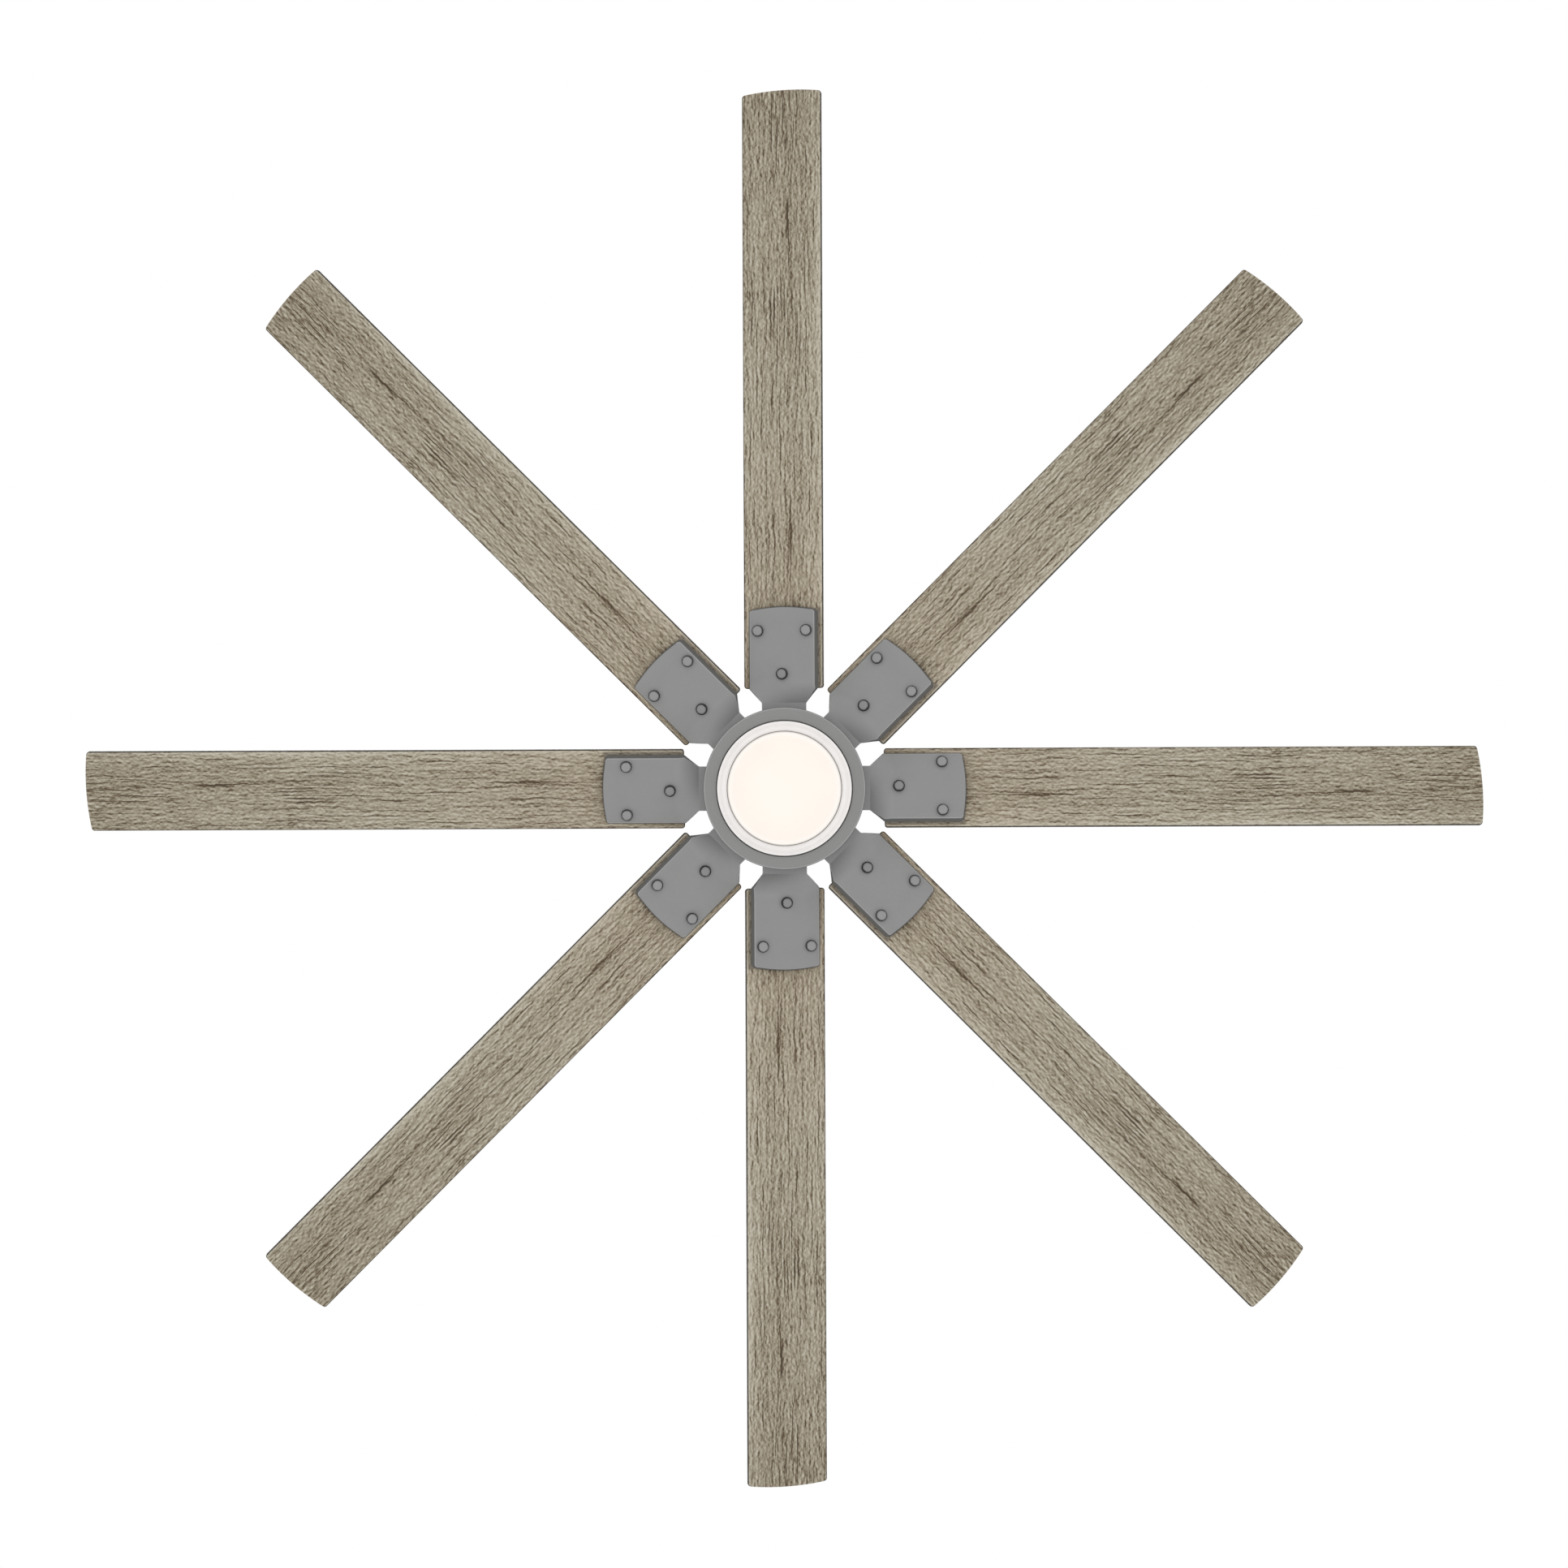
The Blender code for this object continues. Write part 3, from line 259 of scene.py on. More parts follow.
# Wood print, with its waves in a metre along, across and through the board
WOOD_MEAN = (0.34, 0.30, 0.23)
WOOD_SWAYS = (((8, 14, 16), 0.003), ((90, 40, 40), 0.0010))
FIBRE_WAVES = (4, 330, 20)
FIBRE_SHARE = 0.10
SPECK_LAYERS = (((240, 300, 200), 0.04), ((260, 520, 200), 0.22))
GRAIN_LAYERS = (((4, 300, 20), 0.2), ((24, 300, 40), 0.45), ((80, 300, 60), 0.6), ((220, 300, 60), 0.75))
GRAIN_SHIFT = 0.0023

# Pores, cracks and splits: waves, detail, roughness, the noise where each is full and gone, and its share
CRACK_LAYERS = (((70, 420, 60), 1, 0.5, 0.37, 0.41, 0.22),
                ((14, 460, 40), 3, 0.6, 0.345, 0.38, 0.34),
                ((20, 460, 40), 2, 0.5, 0.335, 0.365, 0.24))
LINE_WAVES = (8, 400, 20)
LINE_BOUNDS = (0.672, 0.700)
LINE_SHARE = 0.55

# Tones across the board, along it, and the colours that tones stand for, each by share of its bounds
ACROSS_BOUNDS = (-0.05, 0.05)
ACROSS_TONES = ((0.012, 0.54), (0.055, 0.70), (0.25, 0.70), (0.45, 0.645), (0.58, 0.615), (0.72, 0.655),
                (0.92, 0.75), (0.965, 0.97))
ALONG_BOUNDS = (0.2, 0.84)
ALONG_MIDDLE = 0.5
ALONG_TONES = ((0.0, 0.50), (0.3, 0.53), (0.5, 0.505), (0.7, 0.455), (1.0, 0.38))
WOOD_COLOURS = ((0.0, (0.070, 0.048, 0.028)), (0.25, (0.170, 0.132, 0.084)), (0.5, (0.292, 0.252, 0.184)),
                (0.75, (0.405, 0.363, 0.281)), (1.0, (0.525, 0.490, 0.400)))
ROOT_BOUNDS = (BLADE_ROOT + 0.08, BLADE_ROOT + 0.33)
ROOT_TINTS = ((0.0, (1.0, 0.955, 0.93)), (1.0, (1.0, 1.0, 1.0)))
SAWN_TINT = (0.09, 0.085, 0.08)

# The pad's shade on its board: a strip beside its low side, and a narrower one past its end
PAD_SHADE_TINT = 0.42
SIDE_SHADE_WIDTH = 0.0045
SIDE_SHADE_START = 0.001
SIDE_SHADE_POWER = 0.35
SIDE_SHADE_FADE = 0.003
END_SHADE_START = 0.001
END_SHADE_BOUNDS = (0.0003, 0.0021)
END_SHADE_SHARE = 0.65
END_SHADE_FADE = 0.002
LOWER_FACE_BOUNDS = (-0.001, 0.001)

# The lens's glow from its middle to its rim, which ends in a dark line of painted shade where the lens meets
# the trim
LENS_GLOW = ((0.0, (1.0, 0.93, 0.84)), (0.9, (1.0, 0.93, 0.85)), (0.955, (1.0, 1.0, 0.98)),
             (0.978, (0.9, 0.88, 0.84)), (0.99, (0.1, 0.09, 0.08)), (1.0, (0, 0, 0)))
LENS_GLOW_STRENGTH = 0.36

# Setting
CAMERA_SENSOR = 36
CAMERA_LENS = 51.1
CAMERA_PLACE = (-0.0005, -0.0052, PITCH_AXIS_Z - 2.675)
CAMERA_ROLL = math.radians(0.235)
FLOOR_Z = -4.6
FLOOR_RADIUS = 9
FLOOR_STEPS = 64
FLOOR_FADE = (3.5, 8.8)
FLOOR_GLOW = 0.55

# Light that the backdrop casts, by the height of its direction: 0 straight down, 1 straight up
BACKDROP_LIGHT = ((0.0, 0.55), (0.45, 1.5), (0.5, 1.2), (0.56, 0.25), (1.0, 0.25))
BACKDROP_MOST = 2.0


# Meshes

def heights(node):
    """Return the lowest and the highest Z of a CAD node."""
    return [corner.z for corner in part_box(node)]


def arc(centre, radius, start, end, steps):
    """Return points on a circle in the profile's plane, by angle up from its radius direction."""
    angles = [start + (end - start) * step / steps for step in range(steps + 1)]
    return [(centre[0] + radius * math.cos(a), centre[1] + radius * math.sin(a)) for a in angles]


def quarter(steps):
    """Return angles from 0 towards a quarter turn, which is left out."""
    return [math.pi / 2 * step / steps for step in range(steps)]


def rounded(corners, steps=ARC_STEPS):
    """Return the line through corners (x, y, radius), each rounded by an arc of its radius."""
    line = []
    for index, (x, y, radius) in enumerate(corners):
        here = Vector((x, y))
        if radius == 0:
            line.append((x, y))
            continue
        to_last = (Vector(corners[index - 1][:2]) - here).normalized()
        to_next = (Vector(corners[(index + 1) % len(corners)][:2]) - here).normalized()
        half = to_last.angle(to_next) / 2
        centre = here + (to_last + to_next).normalized() * radius / math.sin(half)
        start = here + to_last * radius / math.tan(half) - centre
        end = here + to_next * radius / math.tan(half) - centre
        turn = start.angle_signed(end)
        for step in range(steps + 1):
            angle = math.atan2(start.y, start.x) - turn * step / steps
            line.append((centre.x + radius * math.cos(angle), centre.y + radius * math.sin(angle)))
    return line


def bowed_end(end, curve, half, corner, clear, steps):
    """Return corners (x, y, radius) of an end that bows out to x = end, with the two at its sides clear."""
    line = []
    for step in range(steps + 1):
        y = half * (2 * step / steps - 1)
        x = end - curve + math.sqrt(curve ** 2 - y ** 2)
        if abs(y) == half:
            line.append((x, y, corner))
        elif abs(y) < half - clear:
            line.append((x, y, 0))
    return line


def shell(line, wall):
    """Close an outer line of (radius, height) into a wall, thickened to the right of its direction."""
    inner = []
    for index, point in enumerate(line):
        here = Vector(point)
        sides = []
        if index > 0:
            step = here - Vector(line[index - 1])
            sides.append(Vector((step.y, -step.x)).normalized())
        if index < len(line) - 1:
            step = Vector(line[index + 1]) - here
            sides.append(Vector((step.y, -step.x)).normalized())
        mean = sum(sides, Vector((0, 0))).normalized()
        inner.append(tuple(here + mean * wall / mean.dot(sides[0])))
    return line + inner[::-1]


def turned(name, profile, steps):
    """Turn a closed profile of (radius, height) about Z."""
    shape = bmesh.new()
    rows = []
    for radius, height in profile:
        if radius < HAIR:
            vert = shape.verts.new((0, 0, height))
            rows.append([vert] * steps)
            continue
        row = []
        for step in range(steps):
            angle = 2 * math.pi * step / steps
            row.append(shape.verts.new((radius * math.cos(angle), radius * math.sin(angle), height)))
        rows.append(row)
    for index in range(len(rows)):
        upper, lower = rows[index - 1], rows[index]
        for step in range(steps):
            after = (step + 1) % steps
            corners = []
            for vert in (upper[step], upper[after], lower[after], lower[step]):
                if vert not in corners:
                    corners.append(vert)
            if len(corners) > 2:
                shape.faces.new(corners)
    return finished(name, shape)


def finished(name, shape):
    """Make an object from a bmesh, smooth between sharp edges."""
    bmesh.ops.recalc_face_normals(shape, faces=shape.faces)
    mesh = bpy.data.meshes.new(name)
    shape.to_mesh(mesh)
    shape.free()
    mesh.shade_smooth()
    mesh.set_sharp_from_angle(angle=SMOOTH_ANGLE)
    obj = bpy.data.objects.new(name, mesh)
    bpy.context.scene.collection.objects.link(obj)
    return obj


def slab(outline, top, bottom, edge, bevelled=lambda rim: True):
    """Extrude a flat outline between two heights and round the edges of its two faces."""
    shape = bmesh.new()
    face = shape.faces.new([shape.verts.new((x, y, top)) for x, y in outline])
    raised = bmesh.ops.extrude_face_region(shape, geom=[face])
    for vert in raised["geom"]:
        if isinstance(vert, bmesh.types.BMVert):
            vert.co.z = bottom
    rims = [e for e in shape.edges if abs(e.verts[0].co.z - e.verts[1].co.z) < HAIR and bevelled(e)]
    bmesh.ops.bevel(shape, geom=rims, offset=edge, offset_type="OFFSET", segments=EDGE_STEPS,
                    profile=0.5, affect="EDGES", clamp_overlap=True)
    bmesh.ops.recalc_face_normals(shape, faces=shape.faces)
    return shape


def part_faces(shape, direction, places):
    """Part the faces of a bmesh by planes that stand at places along a direction."""
    for place in places:
        geom = shape.verts[:] + shape.edges[:] + shape.faces[:]
        bmesh.ops.bisect_plane(shape, geom=geom, plane_co=direction * place, plane_no=direction, dist=SNAP)


def stud(shape, radii, ends, place, steps):
    """Add an upright stud at (x, y) to a bmesh, given the radii and heights of its lower and upper end."""
    low, high = ends
    bmesh.ops.create_cone(shape, cap_ends=True, segments=steps, radius1=radii[0], radius2=radii[1],
                          depth=high - low, matrix=Matrix.Translation((*place, (high + low) / 2)))


def cut_with(obj, tool):
    """Cut obj by tool and remove the tool."""
    modifier = obj.modifiers.new("Cut", "BOOLEAN")
    modifier.operation = "DIFFERENCE"
    modifier.solver = "EXACT"
    modifier.object = tool
    settle(obj)
    bpy.data.objects.remove(tool)


def settle(obj):
    """Apply an object's modifiers, and shade its mesh smooth between sharp edges."""
    depsgraph = bpy.context.evaluated_depsgraph_get()
    mesh = bpy.data.meshes.new_from_object(obj.evaluated_get(depsgraph))
    obj.modifiers.clear()
    obj.data = mesh
    mesh.shade_smooth()
    mesh.set_sharp_from_angle(angle=SMOOTH_ANGLE)


# Materials

class Nodes:
    """A node tree, and short calls that add nodes to it."""

    def __init__(self, owner, coords):
        owner.use_nodes = True
        self.tree = owner.node_tree
        self.coords = self.tree.nodes.new("ShaderNodeTexCoord").outputs[coords]

    def node(self, kind, inputs, **settings):
        """Add a node whose inputs are values or the sockets of other nodes."""
        made = self.tree.nodes.new(kind)
        for key, value in settings.items():
            setattr(made, key, value)
        for key, value in inputs.items():
            if isinstance(value, bpy.types.NodeSocket):
                self.tree.links.new(value, made.inputs[key])
            else:
                made.inputs[key].default_value = value
        return made

    def axes(self):
        """X, Y and Z of the coordinates."""
        split = self.node("ShaderNodeSeparateXYZ", {"Vector": self.coords})
        return [split.outputs[axis] for axis in "XYZ"]

    def seen(self):
        """1 for rays from the eye, also those that a surface mirrors or lets through, and 0 for others."""
        path = self.node("ShaderNodeLightPath", {})
        seen = path.outputs["Is Camera Ray"]
        for name in ("Is Glossy Ray", "Is Transmission Ray"):
            seen = self.maths("MAXIMUM", seen, path.outputs[name])
        return seen

    def maths(self, operation, a, b=0.0):
        return self.node("ShaderNodeMath", {0: a, 1: b}, operation=operation).outputs[0]

    def plus(self, a, b):
        return self.maths("ADD", a, b)

    def less(self, a, b):
        return self.maths("SUBTRACT", a, b)

    def times(self, a, b):
        return self.maths("MULTIPLY", a, b)

    def spread(self, value, low, high, to_low=0.0, to_high=1.0):
        """Carry the range from low to high to another one, and hold what lies outside at its ends."""
        inputs = {"Value": value, "From Min": low, "From Max": high, "To Min": to_low, "To Max": to_high}
        return self.node("ShaderNodeMapRange", inputs).outputs["Result"]


class Finish(Nodes):
    """A material, and short calls that give it its look in the piece's own frame."""

    def __init__(self, name, colour, roughness, metallic=0.0, gloss=0.5):
        self.material = bpy.data.materials.new(name)
        super().__init__(self.material, "Object")
        self.shader = self.tree.nodes["Principled BSDF"]
        self.shader.inputs["Base Color"].default_value = (*colour, 1)
        self.shader.inputs["Roughness"].default_value = roughness
        self.shader.inputs["Metallic"].default_value = metallic
        self.shader.inputs["Specular IOR Level"].default_value = gloss

    def reach(self):
        """Distance from the piece's own upright axis."""
        flat = self.node("ShaderNodeVectorMath", {0: self.coords, 1: (1, 1, 0)}, operation="MULTIPLY")
        length = self.node("ShaderNodeVectorMath", {0: flat.outputs["Vector"]}, operation="LENGTH")
        return length.outputs["Value"]

    def mapped(self, waves, coords=None):
        return self.node("ShaderNodeMapping", {"Vector": coords or self.coords, "Scale": waves}).outputs[0]

    def noise(self, waves, detail=2.0, roughness=0.5, coords=None):
        """Noise with so many waves in a metre along each axis."""
        inputs = {"Vector": self.mapped(waves, coords), "Scale": 1.0, "Detail": detail,
                  "Roughness": roughness}
        return self.node("ShaderNodeTexNoise", inputs).outputs["Fac"]

    def grain(self, waves, coords):
        """Noise less the mean of its neighbours across the grain: fine lines without broad patches."""
        tone = self.noise(waves, detail=1, coords=coords)
        for way in (-GRAIN_SHIFT, GRAIN_SHIFT):
            beside = self.node("ShaderNodeVectorMath", {0: coords, 1: (0, way, 0)}).outputs["Vector"]
            tone = self.less(tone, self.times(self.noise(waves, detail=1, coords=beside), 0.5))
        return tone

    def varied(self, noise, low=0.0, high=1.0, margin=0.3):
        """Carry a noise, which seldom leaves its middle, to the whole range from low to high."""
        return self.spread(noise, margin, 1 - margin, low, high)

    def ramp(self, value, stops):
        made = self.node("ShaderNodeValToRGB", {"Fac": value})
        band = made.color_ramp
        while len(band.elements) < len(stops):
            band.elements.new(0.5)
        for element, (place, colour) in zip(band.elements, stops):
            element.position = place
            element.color = (*colour, 1)
        return made.outputs["Color"]

    def grey_ramp(self, value, stops):
        return self.ramp(value, [(place, grey(level)) for place, level in stops])

    def mix(self, share, a, b, blend="MIX"):
        made = self.tree.nodes.new("ShaderNodeMix")
        made.data_type = "RGBA"
        made.blend_type = blend
        for socket, value in ((made.inputs[0], share), (made.inputs[6], a), (made.inputs[7], b)):
            if isinstance(value, bpy.types.NodeSocket):
                self.tree.links.new(value, socket)
            else:
                socket.default_value = value if socket == made.inputs[0] else (*value, 1)
        return made.outputs[2]

    def tinted(self, colour, tint):
        return self.mix(1.0, colour, tint, "MULTIPLY")

    def link(self, socket, name):
        self.tree.links.new(socket, self.shader.inputs[name])

    def bump(self, height, strength, distance):
        inputs = {"Height": height, "Strength": strength, "Distance": distance}
        self.link(self.node("ShaderNodeBump", inputs).outputs["Normal"], "Normal")


def grey(value):
    return (value, value, value)


def paint_finish(name, colour, roughness, mottle, gloss=0.2, tones=()):
    """Satin powder coat: faint orange peel, slow mottling and, if given, painted light and shade by distance
    from the axis.
    """
    finish = Finish(name, colour, roughness, gloss=gloss)
    cloud = finish.noise(CLOUD_WAVES, detail=3, roughness=0.55)
    speck = finish.noise(SPECK_WAVES, roughness=0.6)
    tone = finish.plus(finish.varied(cloud, 1 - mottle, 1 + mottle), finish.varied(speck, -mottle, mottle))
    # Painted light and shade by distance from the axis, when tones are given
    if tones:
        tone = finish.times(tone, painted_light_by_reach(finish, tones))
    shade = finish.node("ShaderNodeCombineColor", {"Red": tone, "Green": tone, "Blue": tone}).outputs[0]
    finish.link(finish.tinted(colour, shade), "Base Color")
    finish.link(finish.varied(cloud, roughness - 0.04, roughness + 0.05), "Roughness")
    finish.bump(finish.noise(PEEL_WAVES), strength=0.12, distance=0.0003)
    return finish.material


def painted_light_by_reach(finish, tones):
    """Painted light and shade by the distance from the axis. A ramp's colours end at 1, so it holds half of
    each tone.
    """
    low, high = tones[0][0], tones[-1][0]
    halves = [((reach - low) / (high - low), tone / 2) for reach, tone in tones]
    return finish.times(finish.grey_ramp(finish.spread(finish.reach(), low, high), halves), 2.0)


def wood_finish(name, sawn):
    """Driftwood print with its grain along X, and the shade that the pad casts on it."""
    finish = Finish(name, WOOD_MEAN, 0.6, gloss=0.25)
    along, across, up = finish.axes()
    tone = wood_tone(finish, along, across, up)
    colour = finish.ramp(tone, WOOD_COLOURS)
    colour = finish.tinted(colour, finish.ramp(finish.spread(along, *ROOT_BOUNDS), ROOT_TINTS))
    if sawn:
        colour = finish.tinted(colour, SAWN_TINT)
    shade = pad_shade(finish, along, across, up)
    colour = finish.mix(shade, colour, finish.tinted(colour, grey(PAD_SHADE_TINT)))
    finish.link(colour, "Base Color")
    finish.link(finish.spread(tone, 0.0, 1.0, 0.7, 0.55), "Roughness")
    finish.bump(tone, strength=0.2, distance=0.0004)
    return finish.material


def wood_tone(finish, along, across, up):
    """Broad tones, fibres, specks and fine grain, less the dark cracks. The grain sways across the board."""
    swayed = across
    for waves, sway in WOOD_SWAYS:
        swayed = finish.plus(swayed, finish.varied(finish.noise(waves), -sway, sway, 0.2))
    coords = finish.node("ShaderNodeCombineXYZ", {"X": along, "Y": swayed, "Z": up}).outputs[0]
    broad = finish.grey_ramp(finish.spread(across, *ACROSS_BOUNDS), ACROSS_TONES)
    fibres = finish.noise(FIBRE_WAVES, coords=coords)
    tone = finish.plus(finish.varied(fibres, -FIBRE_SHARE, FIBRE_SHARE), broad)
    lengthways = finish.grey_ramp(finish.spread(along, *ALONG_BOUNDS), ALONG_TONES)
    tone = finish.plus(tone, finish.less(lengthways, ALONG_MIDDLE))
    for waves, share in SPECK_LAYERS:
        tone = finish.plus(tone, finish.varied(finish.noise(waves, roughness=0.6), -share, share))
    for waves, share in GRAIN_LAYERS:
        tone = finish.plus(tone, finish.times(finish.grain(waves, coords), share))
    return finish.less(tone, wood_cracks(finish, coords, broad))


def wood_cracks(finish, coords, broad):
    """How far pores, cracks, splits and long lines darken the print. The lines keep to its paler bands."""
    dark = 0.0
    for waves, detail, roughness, full, gone, share in CRACK_LAYERS:
        noise = finish.noise(waves, detail, roughness, coords)
        dark = finish.plus(dark, finish.spread(noise, full, gone, share, 0.0))
    line = finish.plus(finish.noise(LINE_WAVES, detail=1, coords=coords), finish.times(broad, 0.5))
    return finish.plus(dark, finish.spread(line, *LINE_BOUNDS, LINE_SHARE, 0.0))


def pad_shade(finish, along, across, up):
    """Share of the pad's shade on the board's lower face: beside the pad's low side and past its end."""
    strip = finish.times(
        finish.spread(across, IRON_PAD_HALF, IRON_PAD_HALF + SIDE_SHADE_WIDTH, 1.0, 0.0),
        finish.spread(across, IRON_PAD_HALF - SIDE_SHADE_START, IRON_PAD_HALF))
    beside = finish.times(finish.maths("POWER", strip, SIDE_SHADE_POWER),
                          finish.spread(along, IRON_PAD_END - SIDE_SHADE_FADE, IRON_PAD_END, 1.0, 0.0))
    bow = finish.times(finish.maths("POWER", across, 2.0), 0.5 / IRON_END_CURVE)
    past = finish.less(finish.plus(along, bow), IRON_PAD_END)
    strip = finish.times(finish.spread(past, -END_SHADE_START, 0.0),
                         finish.spread(past, *END_SHADE_BOUNDS, END_SHADE_SHARE, 0.0))
    ahead = finish.times(strip, finish.spread(
        finish.maths("ABSOLUTE", across), IRON_PAD_HALF - END_SHADE_FADE, IRON_PAD_HALF, 1.0, 0.0))
    below = finish.spread(up, *LOWER_FACE_BOUNDS, 1.0, 0.0)
    return finish.times(finish.maths("MAXIMUM", beside, ahead), below)


def screw_finish(name, crown, shoulder, foot):
    """Grey paint with painted shade that darkens it from the crown of the head to its foot."""
    finish = Finish(name, grey(crown), 0.45, gloss=0.3)
    stray = finish.varied(finish.noise(SCREW_WAVES), -SCREW_STRAY, SCREW_STRAY)
    rim = finish.spread(finish.plus(finish.reach(), stray), SCREW_CROWN_RADIUS, SCREW_HEAD_RADIUS)
    shades = ((0.0, crown), (SCREW_SHOULDER_SHARE, shoulder), (SCREW_FOOT_SHARE, foot),
              (1.0, SCREW_SEAM_SHARE * foot))
    finish.link(finish.grey_ramp(rim, shades), "Base Color")
    finish.bump(finish.noise(PEEL_WAVES), strength=0.1, distance=0.0003)
    return finish.material


def trim_finish():
    """White enamel with faint clouds."""
    finish = Finish("trim_white", (0.84, 0.81, 0.795), 0.32)
    cloud = finish.varied(finish.noise(TRIM_CLOUD_WAVES), margin=0.35)
    finish.link(finish.mix(cloud, (0.82, 0.795, 0.78), (0.86, 0.83, 0.815)), "Base Color")
    finish.bump(finish.noise(TRIM_SKIN_WAVES), strength=0.05, distance=0.0002)
    return finish.material


def opal_finish():
    """Milky lens, lit from behind: warm, with a white band near its rim and a dark line of painted shade at
    it.
    """
    finish = Finish("opal_lit", (0.62, 0.58, 0.535), 0.28)
    glow = finish.ramp(finish.spread(finish.reach(), 0.0, LENS_RADIUS), LENS_GLOW)
    cloud = finish.varied(finish.noise(LENS_CLOUD_WAVES), margin=0.35)
    glow = finish.mix(cloud, glow, finish.tinted(glow, (0.99, 0.97, 0.97)))
    finish.link(glow, "Emission Color")
    finish.shader.inputs["Emission Strength"].default_value = LENS_GLOW_STRENGTH
    finish.bump(finish.noise(LENS_SKIN_WAVES), strength=0.03, distance=0.0002)
    return finish.material


def zinc_finish(name, colour, roughness):
    """Bright zinc plate with faint crystals and rolling marks."""
    finish = Finish(name, colour, roughness, metallic=0.9)
    crystals = finish.node("ShaderNodeTexVoronoi", {"Vector": finish.mapped(CRYSTAL_WAVES), "Scale": 1.0})
    marks = finish.noise(ROLLING_WAVES, detail=3, roughness=0.6)
    dull = tuple(ZINC_DULL_SHARE * part for part in colour)
    finish.link(finish.mix(crystals.outputs["Color"], dull, colour), "Base Color")
    finish.link(finish.varied(marks, roughness - 0.08, roughness + 0.1), "Roughness")
    finish.bump(marks, strength=0.05, distance=0.0001)
    return finish.material


def cast_finish(name, colour, roughness):
    """Bare die casting with a grainy skin."""
    finish = Finish(name, colour, roughness, metallic=0.7)
    cloud = finish.noise(CAST_CLOUD_WAVES, detail=3)
    dull = tuple(CAST_DULL_SHARE * part for part in colour)
    finish.link(finish.mix(finish.varied(cloud), dull, colour), "Base Color")
    finish.link(finish.varied(cloud, roughness - 0.06, roughness + 0.06), "Roughness")
    skin = finish.noise(CAST_SKIN_WAVES, detail=3, roughness=0.6)
    finish.bump(skin, strength=0.2, distance=0.0003)
    return finish.material


def plastic_finish(name, colour, roughness):
    """Moulded plastic with a fine grain."""
    finish = Finish(name, colour, roughness)
    skin = finish.noise(MOULDED_WAVES, roughness=0.6)
    finish.link(finish.varied(skin, roughness - 0.05, roughness + 0.08), "Roughness")
    finish.bump(skin, strength=0.15, distance=0.0002)
    return finish.material


def core_finish():
    """Stacked steel sheets, with copper windings where the coils stand above and below the stack."""
    finish = Finish("core_and_copper", (0.25, 0.24, 0.23), 0.45, metallic=0.9)
    up = finish.axes()[2]
    away = finish.maths("ABSOLUTE", finish.less(up, sum(heights("stator")) / 2))
    coil = finish.spread(away, CORE_HALF, CORE_HALF + CORE_SEAM)
    sheets = finish.node("ShaderNodeTexWave", {"Vector": finish.coords, "Scale": SHEET_SCALE},
                         bands_direction="Z").outputs["Fac"]
    wires = finish.node("ShaderNodeTexWave", {"Vector": finish.coords, "Scale": WIRE_SCALE,
                                              "Distortion": WIRE_DISTORTION},
                        bands_direction="DIAGONAL").outputs["Fac"]
    steel = finish.mix(sheets, *STEEL_TONES)
    copper = finish.mix(wires, *COPPER_TONES)
    finish.link(finish.mix(coil, steel, copper), "Base Color")
    finish.bump(finish.mix(coil, sheets, wires), strength=0.3, distance=0.0002)
    return finish.material


def all_finishes():
    """Every finish, by the word that its pieces ask for."""
    return {
        "paint": paint_finish("grey_paint", (0.258, 0.258, 0.254), 0.5, 0.02),
        # The irons' paint carries painted light and shade by distance from the axis
        "casting": paint_finish("grey_casting", (0.294, 0.294, 0.293), 0.5, 0.025, tones=IRON_PAINTED_LIGHT),
        # Lighter copy of the casting paint: painted highlight on downward arrises and on the pan's lower
        # edge
        "casting_highlight": paint_finish("grey_casting_edge", (0.37, 0.37, 0.368), 0.45, 0.02),
        # Darker copy of the casting paint: painted shade on the irons' side walls and the pan's outer lower
        # edge
        "casting_shade": paint_finish("grey_casting_side", (0.13, 0.13, 0.128), 0.6, 0.04, gloss=0.1),
        # Screw heads get painted shade towards their foot; the inner screws' copy is shaded deeper
        "screw": screw_finish("grey_screw", 0.295, 0.245, 0.055),
        "shaded_inner_screw": screw_finish("grey_screw_shaded", 0.265, 0.15, 0.012),
        "wood": wood_finish("driftwood", False),
        "wood_side": wood_finish("driftwood_edge", True),
        "trim": trim_finish(),
        "opal": opal_finish(),
        "zinc": zinc_finish("zinc_plate", (0.44, 0.45, 0.46), 0.42),
        "bearing": zinc_finish("ground_steel", (0.66, 0.66, 0.67), 0.22),
        "cast": cast_finish("cast_aluminium", (0.50, 0.50, 0.51), 0.5),
        "core": core_finish(),
        "plastic": plastic_finish("black_nylon", (0.022, 0.022, 0.023), 0.45),
        "board": plastic_finish("board_white", (0.80, 0.80, 0.79), 0.42),
    }


# Pieces of the rotor

def even_turns():
    return [2 * math.pi * index / BLADE_COUNT for index in range(BLADE_COUNT)]


def pitched_frame(turn):
    """Where a blade's own frame lies when the blade points along the given turn."""
    place = Matrix.Translation((0, 0, PITCH_AXIS_Z)) @ Matrix.Rotation(-BLADE_PITCH, 4, "X")
    return Matrix.Rotation(turn, 4, "Z") @ place


